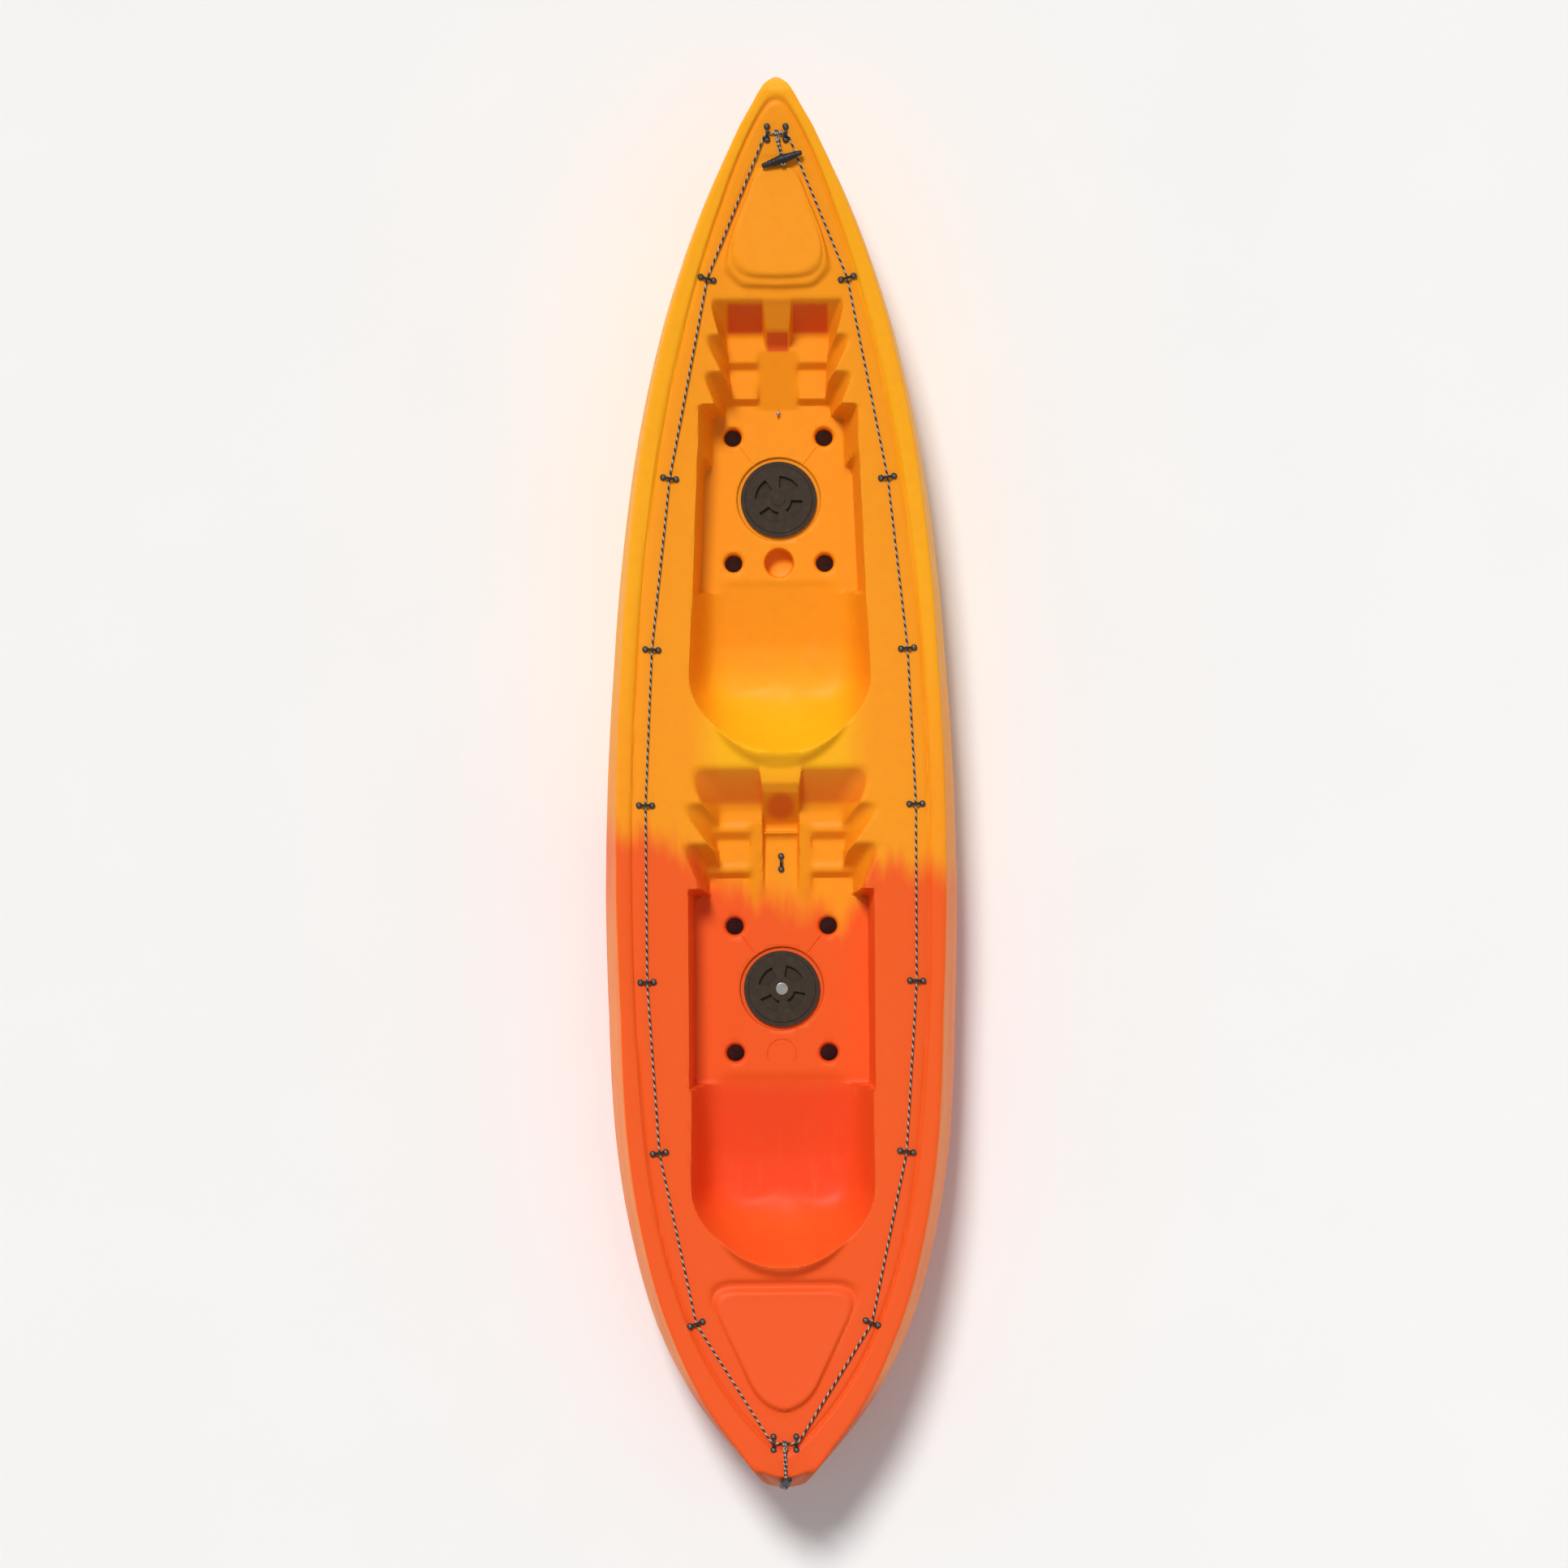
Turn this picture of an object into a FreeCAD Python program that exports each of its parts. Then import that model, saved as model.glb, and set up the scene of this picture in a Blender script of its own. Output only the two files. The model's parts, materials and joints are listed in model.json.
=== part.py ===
"""Tandem sit-on-top kayak, moulded in one hollow shell, with two deck hatches, a deck line and
two carrying toggles.

Millimetres. +Y points to the bow, +X to starboard and +Z up. The origin lies under the middle
of the hull, on the flat of its bottom.
"""
import FreeCAD, Part
import math
import os

Vec = FreeCAD.Vector

# Hull: the outline is (y, half beam) at each station, stern to bow.
HALF_LENGTH = 1830.0
OUTLINE = [
    (-1830, 20), (-1781, 73), (-1679, 166), (-1368, 335), (-868, 433), (-310, 452),
    (272, 434), (896, 358), (1370, 238), (1691, 105), (1830, 26),
]
WALL = 5.0
DECK = 300.0
BOW_SHEER = (300.0, 90.0)
STERN_SHEER = (400.0, 60.0)
KEEL_FLAT = 1100.0
BOW_ROCKER = 200.0
STERN_ROCKER = 170.0
DECK_END = 1786.0
KEEL_END = 1700.0
BOW_TIP_Z = 300.0
STERN_TIP_Z = 190.0
TOOL_TOP = 440.0
PRISM_HALF = 600.0

# Roundness of the two tips, seen from the side: how far each end curve runs before it turns.
KEEL_RUN = 45.0
BOW_RUN = 26.0
BOW_CROWN = 45.0
BOW_ENTRY = 75.0
STERN_RUN = 14.0
STERN_FALL = 90.0
STERN_ENTRY = 45.0

# Twin tunnels along the bottom, which the drain tubes open into.
TUNNEL_X = 120.5
TUNNEL_R = 64.0
TUNNEL_Z = -40.0
TUNNEL_END = 1000.0

# Cockpits: heights of the floor and of the foot platforms above it.
FLOOR = 165.0
FRONT_PLATFORMS = (215.0, 190.0)
REAR_PLATFORMS = (205.0, 185.0)
SEAT_FLOOR = 138.0
LIP_HEIGHT = 26.0
LIP_R = (190.0, 182.0)
LIP_SINK = 20.0
BOW_PLATE_H = 34.0
STERN_PLATE_H = 12.0
CUP = {"y": 576.0, "r": 38.5, "depth": 55.0}
REAR_CHANNEL_END = -320.0
RIB_SINK = 30.0

# Drain tubes (scuppers), y of each pair and its half spacing.
SCUPPER_PAIRS = [(904.0, 119.0), (576.0, 119.0), (-371.0, 122.0), (-702.0, 122.0)]
SCUPPER_R = 23.0
SCUPPER_FLARE = 4.0
SCUPPER_FLARE_DEPTH = 8.0

# Hatches, on the cockpit floors.
FRONT_HATCH_Y = 742.0
REAR_HATCH_Y = -534.0
HATCH_R = 99.0
HATCH_RECESS_R = 109.0
HATCH_RECESS = 8.0
HATCH_BORE_R = 72.0
HATCH_BARREL_WALL = 4.0
HATCH_BARREL = 24.0
HATCH_FLANGE = 6.0
LID_R = 88.0
LID_GAP = 0.4
LID_TOP = 6.0
LID_SPIGOT = 14.0
SEAL_WIDTH = 3.3
SEAL_HEIGHT = 4.0
POCKET = {"r_in": 32.0, "r_out": 62.0, "span": 54.0, "depth": 11.0}
FRONT_POCKET_TURN = 61.0
REAR_POCKET_TURN = 52.0
CENTRE_R = 16.5
RING_SCREW_CIRCLE = 83.0
RING_SCREWS = 6

# Pad eyes: two bosses with a bridge between them.
EYE_PITCH = 34.0
EYE_BOSS_R = 8.0
EYE_BOSS_H = 5.0
EYE_BRIDGE_W = 7.0
EYE_BRIDGE_IN = (10.5, 12.0)
EYE_BRIDGE_OUT = (14.0, 15.5)
EYE_GAP = 0.05
SCREW_R = 2.3
SCREW_HEAD_R = 4.5
SCREW_HEAD_H = 2.5
SCREW_REACH = 11.0
SCREW_CLEARANCE = 0.08

# Places of the pad eyes, (x, y). Port mirrors starboard.
SIDE_EYES = [
    (181, 1307), (282, 793), (331, 350), (350, -53), (349, -511), (320, -953), (227, -1394),
]
BOW_EYE = (24.0, 1679.0)
STERN_EYE = (29.5, -1702.0)
REAR_CENTRE_EYE_Y = -205.0
FRONT_CENTRE_EYE_Y = 967.0

# Deck line and toggles.
LINE_R = 2.5
LINE_LOW = 5.2
LINE_HIGH = 8.2
LINE_BEND = 20.0
LINE_TURN = 12.0
LINE_TURN_OUT = 4.0
LINE_KNOT_X = 13.0
LINE_KNOT_R = 5.5
ROPE_R = 3.6
LOOP_R = 4.9
LOOP_TUBE = 1.8
TOGGLE_LENGTH = 110.0
TOGGLE_R = 10.0
TOGGLE_END_R = 6.5
TOGGLE_KNOT_R = 5.5
BOW_TOGGLE = Vec(14.0, 1610.0, 384.5)
BOW_TOGGLE_AXIS = Vec(1.0, 0.34, 0.08)
STERN_TOGGLE = Vec(2.0, -1803.5, 365.0)
STERN_TOGGLE_AXIS = Vec(0.21, 0.28, 1.0)


def save(name, shape):
    """Write one sub-part to its own STEP file."""
    print(name, "solids", len(shape.Solids), "volume", round(shape.Volume), "valid", shape.isValid())
    shape.exportStep("parts/" + name + ".step")


def deck_z(y):
    """Height of the deck: flat amidships, rising as a parabola to each end."""
    if y > BOW_SHEER[0]:
        return DECK + BOW_SHEER[1] * ((y - BOW_SHEER[0]) / (HALF_LENGTH - BOW_SHEER[0])) ** 2
    if y < -STERN_SHEER[0]:
        return DECK + STERN_SHEER[1] * ((-y - STERN_SHEER[0]) / (HALF_LENGTH - STERN_SHEER[0])) ** 2
    return DECK


def deck_slope(y):
    """Rise of the deck per millimetre towards the bow."""
    step = 0.5
    return (deck_z(y + step) - deck_z(y - step)) / (2 * step)


def keel_z(y):
    """Height of the keel: flat amidships, rising as a parabola to each end."""
    rise = BOW_ROCKER if y > 0 else STERN_ROCKER
    beyond = max(0.0, abs(y) - KEEL_FLAT) / (HALF_LENGTH - KEEL_FLAT)
    return rise * beyond ** 2


def curve(points):
    """Bezier edge in the plane of symmetry, through (y, z) poles."""
    bezier = Part.BezierCurve()
    bezier.setPoles([Vec(0, y, z) for y, z in points])
    return bezier.toShape()


def across(wire, half):
    """Prism of a closed outline in the plane of symmetry, half to each side of it."""
    face = Part.Face(wire)
    face.translate(Vec(-half, 0, 0))
    return face.extrude(Vec(2 * half, 0, 0))


def side_profile(inset):
    """Prism with the hull's outline as seen from the side, drawn in by inset all round."""
    tip = HALF_LENGTH - inset
    level = DECK - inset
    bow_keel = keel_z(KEEL_END) + inset
    stern_keel = keel_z(-KEEL_END) + inset
    bow_deck = deck_z(DECK_END) - inset
    stern_deck = deck_z(-DECK_END) - inset
    bow_keel_slope = 2 * BOW_ROCKER * (KEEL_END - KEEL_FLAT) / (HALF_LENGTH - KEEL_FLAT) ** 2
    stern_keel_slope = 2 * STERN_ROCKER * (KEEL_END - KEEL_FLAT) / (HALF_LENGTH - KEEL_FLAT) ** 2
    keel_mid = (KEEL_FLAT + KEEL_END) / 2
    bow_mid = (BOW_SHEER[0] + DECK_END) / 2
    stern_mid = -(STERN_SHEER[0] + DECK_END) / 2
    edges = [
        Part.makeLine(Vec(0, -KEEL_FLAT, inset), Vec(0, KEEL_FLAT, inset)),
        curve([(KEEL_FLAT, inset), (keel_mid, inset), (KEEL_END, bow_keel)]),
        curve([(KEEL_END, bow_keel), (KEEL_END + KEEL_RUN, bow_keel + KEEL_RUN * bow_keel_slope),
               (tip, BOW_TIP_Z - BOW_ENTRY), (tip, BOW_TIP_Z)]),
        curve([(tip, BOW_TIP_Z), (tip, BOW_TIP_Z + BOW_CROWN),
               (DECK_END + BOW_RUN, bow_deck + BOW_RUN * deck_slope(DECK_END)), (DECK_END, bow_deck)]),
        curve([(DECK_END, bow_deck), (bow_mid, level), (BOW_SHEER[0], level)]),
        Part.makeLine(Vec(0, BOW_SHEER[0], level), Vec(0, -STERN_SHEER[0], level)),
        curve([(-STERN_SHEER[0], level), (stern_mid, level), (-DECK_END, stern_deck)]),
        curve([(-DECK_END, stern_deck), (-DECK_END - STERN_RUN, stern_deck),
               (-tip, stern_deck - STERN_FALL), (-tip, STERN_TIP_Z)]),
        curve([(-tip, STERN_TIP_Z), (-tip, STERN_TIP_Z - STERN_ENTRY),
               (-KEEL_END - KEEL_RUN, stern_keel + KEEL_RUN * stern_keel_slope),
               (-KEEL_END, stern_keel)]),
        curve([(-KEEL_END, stern_keel), (-keel_mid, inset), (-KEEL_FLAT, inset)]),
    ]
    return across(Part.Wire(edges), PRISM_HALF)


def section(y, half_beam):
    """Closed cross-section of the hull at one station, a little taller than the hull itself."""
    fullness = 1.0 - (abs(y) / HALF_LENGTH) ** 3
    keel = keel_z(y)
    height = deck_z(y) - keel
    rim = 10.0 + 20.0 * fullness
    half = [
        ((0.12 + 0.50 * fullness) * half_beam, keel - 8.0),
        ((0.55 + 0.36 * fullness) * half_beam, keel + 0.18 * height),
        (half_beam, keel + 0.5 * height),
        (half_beam - min(rim, 0.4 * half_beam), keel + height),
        (half_beam - min(rim + 4.0, 0.5 * half_beam), keel + height + 14.0),
    ]
    starboard = Part.BSplineCurve()
    starboard.interpolate([Vec(x, y, z) for x, z in half])
    port = Part.BSplineCurve()
    port.interpolate([Vec(-x, y, z) for x, z in reversed(half)])
    bottom = Part.makeLine(Vec(-half[0][0], y, half[0][1]), Vec(half[0][0], y, half[0][1]))
    top = Part.makeLine(Vec(half[-1][0], y, half[-1][1]), Vec(-half[-1][0], y, half[-1][1]))
    return Part.Wire([bottom, starboard.toShape(), top, port.toShape()])


def hull_form(inset):
    """Solid hull without its recesses, drawn in by inset all round."""
    sections = [section(y, half_beam - inset) for y, half_beam in OUTLINE]
    return Part.makeLoft(sections, True, False).common(side_profile(inset))


def between(low, high, share):
    """Point at a share of the way from low to high; a share over 1 carries on past high."""
    return tuple(a + (b - a) * share for a, b in zip(low, high))


def four_sided(z, bow, stern, grow):
    """Closed outline from its bow and stern edges, each given as (y, half width)."""
    corners = [
        Vec(-bow[1] - grow, bow[0] + grow, z), Vec(bow[1] + grow, bow[0] + grow, z),
        Vec(stern[1] + grow, stern[0] - grow, z), Vec(-stern[1] - grow, stern[0] - grow, z),
    ]
    return Part.makePolygon(corners + corners[:1])


def well(floor_z, bow_deck, bow_floor, stern_deck, stern_floor, grow):
    """Drafted recess; each edge is (y, half width) at deck level and at the floor."""
    lift = (TOOL_TOP - floor_z) / (deck_z(bow_deck[0]) - floor_z)
    low = four_sided(floor_z - grow, bow_floor, stern_floor, grow)
    high = four_sided(TOOL_TOP, between(bow_floor, bow_deck, lift),
                      between(stern_floor, stern_deck, lift), grow)
    return Part.makeLoft([low, high], True, True)


def bowl_outline(z, front, centre, half_width, depth, grow):
    """Straight-sided outline with a half-round stern end."""
    round_off = 0.552
    w = half_width + grow
    d = depth + grow
    y = front + grow
    left = Part.BezierCurve()
    right = Part.BezierCurve()
    right.setPoles([Vec(w, centre, z), Vec(w, centre - round_off * d, z),
                    Vec(round_off * w, centre - d, z), Vec(0, centre - d, z)])
    left.setPoles([Vec(0, centre - d, z), Vec(-round_off * w, centre - d, z),
                   Vec(-w, centre - round_off * d, z), Vec(-w, centre, z)])
    return Part.Wire([
        Part.makeLine(Vec(-w, centre, z), Vec(-w, y, z)), Part.makeLine(Vec(-w, y, z), Vec(w, y, z)),
        Part.makeLine(Vec(w, y, z), Vec(w, centre, z)), right.toShape(), left.toShape(),
    ])


def seat_bowl(front, centre, stern, half_width, grow):
    """Seat recess from its front edge to the round back, leaning outwards towards the deck."""
    depth = centre - stern
    slant = 34.0
    lift = (TOOL_TOP - SEAT_FLOOR) / (DECK - SEAT_FLOOR)
    low = bowl_outline(SEAT_FLOOR - grow, front - 22.0, centre, half_width - slant, depth - slant, grow)
    high_slant = slant * (lift - 1.0)
    high = bowl_outline(TOOL_TOP, front, centre, half_width + high_slant, depth + high_slant, grow)
    return Part.makeLoft([low, high], True, True)


def rib(bow, foot, crown, base, grow):
    """Buttress down the middle of a foot wall, drawn in by grow.

    bow and foot are (y, half width) at its ends; crown is the (y, z) where its face turns down.
    """
    top = deck_z(bow[0])
    behind = bow[0] + 2 * RIB_SINK
    face = [(behind, base - RIB_SINK), (behind, top - grow), (bow[0], top - grow),
            (crown[0] + grow, crown[1] - grow), (foot[0] + grow, base - grow),
            (foot[0] + grow, base - RIB_SINK)]
    side = across(Part.makePolygon([Vec(0, y, z) for y, z in face + face[:1]]), PRISM_HALF)
    ends = four_sided(base - RIB_SINK, (behind, bow[1]), foot, -grow)
    return side.common(Part.Face(ends).extrude(Vec(0, 0, TOOL_TOP - base)))


def front_footwell(grow):
    """Stepped foot wells ahead of the front cockpit, with a rib down their bow wall."""
    high, low = FRONT_PLATFORMS
    steps = well(high, (1255, 177), (1168, 150), (1085, 134), (1085, 128), grow)
    steps = steps.cut(rib((1255, 38), (1128, 24), (1178, 285), high, grow))
    return [
        steps,
        well(low, (1127, 152), (1097, 134), (1004, 121), (1004, 119), grow),
        well(low, (1162, 189), (1097, 134), (1052, 142), (1052, 130), grow),
        well(FLOOR, (1066, 189), (1000, 134), (955, 146), (955, 140), grow),
    ]


def rear_footwell(grow):
    """Stepped foot wells ahead of the rear cockpit, with a rib and a drain channel between them."""
    high, low = REAR_PLATFORMS
    buttress = rib((47, 59), (-102, 45), (-24, 272), FLOOR, grow)
    steps = [
        well(high, (47, 249), (-60, 175), (-125, 172), (-125, 160), grow),
        well(low, (-50, 262), (-112, 182), (-222, 152), (-222, 150), grow),
        well(FLOOR, (-60, 47), (-90, 46), (REAR_CHANNEL_END, 46), (REAR_CHANNEL_END, 43), grow),
    ]
    steps = [step.cut(buttress) for step in steps]
    return steps + [well(FLOOR, (-155, 256), (-222, 192), (-290, 196), (-290, 188), grow)]


def recesses(grow):
    """Everything sunk into the deck, each solid grown outwards by grow."""
    shapes = front_footwell(grow) + rear_footwell(grow) + [
        well(FLOOR, (984, 206), (958, 168), (815, 206), (815, 170), grow),
        well(FLOOR, (868, 208), (826, 190), (500, 222), (500, 203), grow),
        seat_bowl(534, 287, 85, 236, grow),
        well(FLOOR, (-272, 241), (-285, 218), (-790, 241), (-790, 218), grow),
        seat_bowl(-752, -1040, -1244, 240, grow),
    ]
    for y in (FRONT_HATCH_Y, REAR_HATCH_Y):
        base = Vec(0, y, FLOOR - HATCH_RECESS - grow)
        shapes.append(Part.makeCylinder(HATCH_RECESS_R + grow, HATCH_RECESS + 2 * grow + 5.0, base))
    cup_base = Vec(0, CUP["y"], FLOOR - CUP["depth"] - grow)
    shapes.append(Part.makeCylinder(CUP["r"] + grow, CUP["depth"] + grow + 5.0, cup_base))
    return shapes


def tunnels(grow):
    """Round-bottomed channels under the hull, closed by ball ends."""
    shapes = []
    for x in (-TUNNEL_X, TUNNEL_X):
        start = Vec(x, -TUNNEL_END, TUNNEL_Z)
        shapes.append(Part.makeCylinder(TUNNEL_R + grow, 2 * TUNNEL_END, start, Vec(0, 1, 0)))
        for y in (-TUNNEL_END, TUNNEL_END):
            shapes.append(Part.makeSphere(TUNNEL_R + grow, Vec(x, y, TUNNEL_Z)))
    return shapes


def scupper_places():
    """(x, y) of every drain tube."""
    return [(side * x, y) for y, x in SCUPPER_PAIRS for side in (-1, 1)]


def scuppers(grow):
    """Drain tubes with a flared mouth at the cockpit floor."""
    shapes = []
    for x, y in scupper_places():
        shapes.append(Part.makeCylinder(SCUPPER_R + grow, FLOOR + 40.0, Vec(x, y, -20.0)))
        flare_base = Vec(x, y, FLOOR - SCUPPER_FLARE_DEPTH - grow)
        wide = SCUPPER_R + SCUPPER_FLARE + grow
        shapes.append(Part.makeCone(SCUPPER_R + grow, wide, SCUPPER_FLARE_DEPTH + grow, flare_base))
    return shapes


def tangent_wire(points, radii, closed=False):
    """Straight runs through the points, each corner rounded by a tangent arc of its radius."""
    count = len(points)
    starts = {}
    ends = {}
    arcs = {}
    corners = range(count) if closed else range(1, count - 1)
    for i in corners:
        before = (points[i - 1] - points[i]).normalize()
        after = (points[(i + 1) % count] - points[i]).normalize()
        half = math.pi / 2 - before.getAngle(after) / 2
        reach = radii[i] * math.tan(half)
        middle = (before + after).normalize() * (radii[i] / math.cos(half) - radii[i])
        starts[i] = points[i] + before * reach
        ends[i] = points[i] + after * reach
        arcs[i] = Part.Arc(starts[i], points[i] + middle, ends[i]).toShape()
    edges = []
    for i in range(count if closed else count - 1):
        following = (i + 1) % count
        line_from = ends.get(i, points[i])
        line_to = starts.get(following, points[following])
        edges.append(Part.makeLine(line_from, line_to))
        if following in arcs:
            edges.append(arcs[following])
    return Part.Wire(edges)


def raised_panel(corners, radii, low, tops, draft, inset):
    """Rounded plate on the deck; corners are (x, y) of its starboard half, bow to stern."""
    full = [(x - inset, y) for x, y in corners]
    full = full + [(-x, y) for x, y in reversed(full)]
    full_radii = radii + radii[::-1]
    full_tops = tops + tops[::-1]
    base = tangent_wire([Vec(x, y, low) for x, y in full], full_radii, closed=True)
    middle = sum(y for x, y in full) / len(full)
    shrink = [Vec(x - math.copysign(draft, x), y - math.copysign(draft, y - middle), top - inset)
              for (x, y), top in zip(full, full_tops)]
    crown = tangent_wire(shrink, full_radii, closed=True)
    return Part.makeLoft([base, crown], True, True)


def panels(inset):
    """Raised bow plate, level on top, and the low plate behind the rear seat."""
    bow_top = deck_z(1280) + BOW_PLATE_H
    bow = raised_panel([(30, 1596 - inset), (132, 1372), (112, 1282 + inset)], [22, 60, 40],
                       DECK, [bow_top] * 3, 6.0, inset)
    stern = raised_panel([(176, -1316 - inset), (38, -1628 + inset)], [46, 24], DECK,
                         [deck_z(-1316) + STERN_PLATE_H, deck_z(-1628) + STERN_PLATE_H], 8.0, inset)
    return [bow, stern]


def seat_lips():
    """Low rims behind the two seats, which the seat bowls are cut through."""
    height = LIP_HEIGHT + LIP_SINK
    return [
        Part.makeCone(LIP_R[0], LIP_R[1], height, Vec(0, 232, DECK - LIP_SINK)),
        Part.makeCone(LIP_R[0], LIP_R[1], height, Vec(0, -1097, deck_z(-1280) - LIP_SINK)),
    ]


def deck_frame(x, y, z, turn, slope):
    """Placement for a deck fitting: turned about its own upright, then tilted with the deck."""
    spin = FreeCAD.Rotation(Vec(0, 0, 1), turn)
    tilt = FreeCAD.Rotation(Vec(1, 0, 0), math.degrees(math.atan(slope)))
    return FreeCAD.Placement(Vec(x, y, z), tilt.multiply(spin))


def carried(shape, placement):
    """Copy of a shape, moved by a placement."""
    moved = shape.copy()
    moved.transformShape(placement.toMatrix(), True)
    return moved


def arch(half_span, height, width):
    """Solid under a three-point arch that springs from the deck."""
    bow = Part.Arc(Vec(-half_span, 0, 0), Vec(0, 0, height), Vec(half_span, 0, 0)).toShape()
    floor = Part.makeLine(Vec(half_span, 0, 0), Vec(-half_span, 0, 0))
    face = Part.Face(Part.Wire([bow, floor]))
    face.translate(Vec(0, -width / 2, 0))
    return face.extrude(Vec(0, width, 0))


def pad_eye_shape():
    """Pad eye standing on z = 0, its length along X."""
    inner = arch(EYE_BRIDGE_IN[0], EYE_BRIDGE_IN[1], EYE_BRIDGE_W + 20)
    body = arch(EYE_BRIDGE_OUT[0], EYE_BRIDGE_OUT[1], EYE_BRIDGE_W)
    for x in (-EYE_PITCH / 2, EYE_PITCH / 2):
        body = body.fuse(Part.makeCylinder(EYE_BOSS_R, EYE_BOSS_H, Vec(x, 0, 0)))
    body = body.cut(inner)
    for x in (-EYE_PITCH / 2, EYE_PITCH / 2):
        hole = Part.makeCylinder(SCREW_R + SCREW_CLEARANCE, 40, Vec(x, 0, -20))
        head_room = Part.makeCylinder(SCREW_HEAD_R + SCREW_CLEARANCE, 40, Vec(x, 0, EYE_BOSS_H))
        body = body.cut(hole).cut(head_room)
    body.translate(Vec(0, 0, EYE_GAP))
    return body.removeSplitter()


def screw_shape(head_r, head_h, shank_r, shank_length):
    """Pan-head screw with its head's underside on z = 0 and a crossed slot in the crown."""
    head = Part.makeCylinder(head_r, head_h)
    rim = [edge for edge in head.Edges if edge.BoundBox.ZMin > head_h - 0.01]
    head = head.makeFillet(0.35 * head_h, rim)
    slot_w = 0.25 * head_r
    slot_l = 1.1 * head_r
    for size in ((slot_l, slot_w), (slot_w, slot_l)):
        cutter = Part.makeBox(size[0], size[1], head_h)
        cutter.translate(Vec(-size[0] / 2, -size[1] / 2, 0.5 * head_h))
        head = head.cut(cutter)
    return head.fuse(Part.makeCylinder(shank_r, shank_length, Vec(0, 0, -shank_length)))


def eye_screws_at(placement):
    """The two screws of the pad eye at a placement."""
    screw = screw_shape(SCREW_HEAD_R, SCREW_HEAD_H, SCREW_R, EYE_BOSS_H + SCREW_REACH)
    pair = []
    for x in (-EYE_PITCH / 2, EYE_PITCH / 2):
        local = screw.copy()
        local.translate(Vec(x, 0, EYE_BOSS_H + EYE_GAP))
        pair.append(carried(local, placement))
    return pair


def eye_holes_at(placement):
    """Screw holes in the hull under the pad eye at a placement."""
    holes = []
    for x in (-EYE_PITCH / 2, EYE_PITCH / 2):
        hole = Part.makeCylinder(SCREW_R + SCREW_CLEARANCE, 16, Vec(x, 0, -12))
        holes.append(carried(hole, placement))
    return holes


def line_points():
    """Route of the deck line, from the knot at the starboard bow eye round by port and back."""
    def point(x, y, height):
        return Vec(x, y, deck_z(y) + height)
    port_side = [point(-x, y, LINE_LOW) for x, y in SIDE_EYES]
    starboard_side = [point(x, y, LINE_LOW) for x, y in reversed(SIDE_EYES)]
    bow_x, bow_y = BOW_EYE[0] + LINE_TURN_OUT, BOW_EYE[1]
    stern_x, stern_y = STERN_EYE[0] + LINE_TURN_OUT, STERN_EYE[1]
    return (
        [point(LINE_KNOT_X - 3.5, bow_y, LINE_HIGH), point(-bow_x, bow_y, LINE_HIGH)]
        + port_side
        + [point(-stern_x, stern_y, LINE_HIGH), point(stern_x, stern_y, LINE_HIGH)]
        + starboard_side
        + [point(bow_x, bow_y, LINE_HIGH), point(LINE_KNOT_X + 3.5, bow_y, LINE_HIGH)]
    )


def tube(points, radii, radius, name):
    """Round cord along straight runs and tangent arcs."""
    path = tangent_wire(points, radii)
    profile = Part.Wire([Part.makeCircle(radius, points[0], points[1] - points[0])])
    solid = path.makePipeShell([profile], True, False)
    if solid.ShapeType != "Solid":
        solid = Part.Solid(Part.Shell(solid.Faces))
    expected = math.pi * radius ** 2 * path.Length
    print(name, "length", round(path.Length, 1), "bend radii", sorted(set(radii)),
          "volume / expected", round(solid.Volume / expected, 4))
    return solid


def perimeter_line():
    """The deck line, one cord through every pad eye."""
    points = line_points()
    radii = [LINE_BEND] * len(points)
    stern_corner = len(SIDE_EYES) + 2
    for corner in (1, stern_corner, stern_corner + 1, len(points) - 2):
        radii[corner] = LINE_TURN
    return tube(points, radii, LINE_R, "perimeter_line")


def side_eye_turns():
    """Turn of each starboard side eye, square to the line as it passes."""
    points = line_points()
    first = len(SIDE_EYES) + 4
    turns = []
    for i in range(len(SIDE_EYES)):
        at = first + len(SIDE_EYES) - 1 - i
        run = points[at + 1] - points[at - 1]
        turns.append(math.degrees(math.atan2(run.y, run.x)) - 90.0)
    return turns


def fitting_placements():
    """Placement of every pad eye by node name."""
    places = {}
    turns = side_eye_turns()
    for i, (x, y) in enumerate(SIDE_EYES):
        number = str(i + 1)
        places["starboard_pad_eye_" + number] = deck_frame(x, y, deck_z(y), turns[i], deck_slope(y))
        places["port_pad_eye_" + number] = deck_frame(-x, y, deck_z(y), -turns[i], deck_slope(y))
    for prefix, (x, y) in (("bow_pad_eye", BOW_EYE), ("stern_pad_eye", STERN_EYE)):
        places[prefix + "_starboard"] = deck_frame(x, y, deck_z(y), 90, deck_slope(y))
        places[prefix + "_port"] = deck_frame(-x, y, deck_z(y), 90, deck_slope(y))
    places["rear_center_pad_eye"] = deck_frame(0, REAR_CENTRE_EYE_Y, FLOOR, 90, 0)
    return places


def ring_screw_places(hatch_y):
    """(x, y) of the screws that hold a hatch ring."""
    step = 360.0 / RING_SCREWS
    angles = [math.radians(step * i + step / 2) for i in range(RING_SCREWS)]
    return [(RING_SCREW_CIRCLE * math.cos(a), hatch_y + RING_SCREW_CIRCLE * math.sin(a)) for a in angles]


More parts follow.
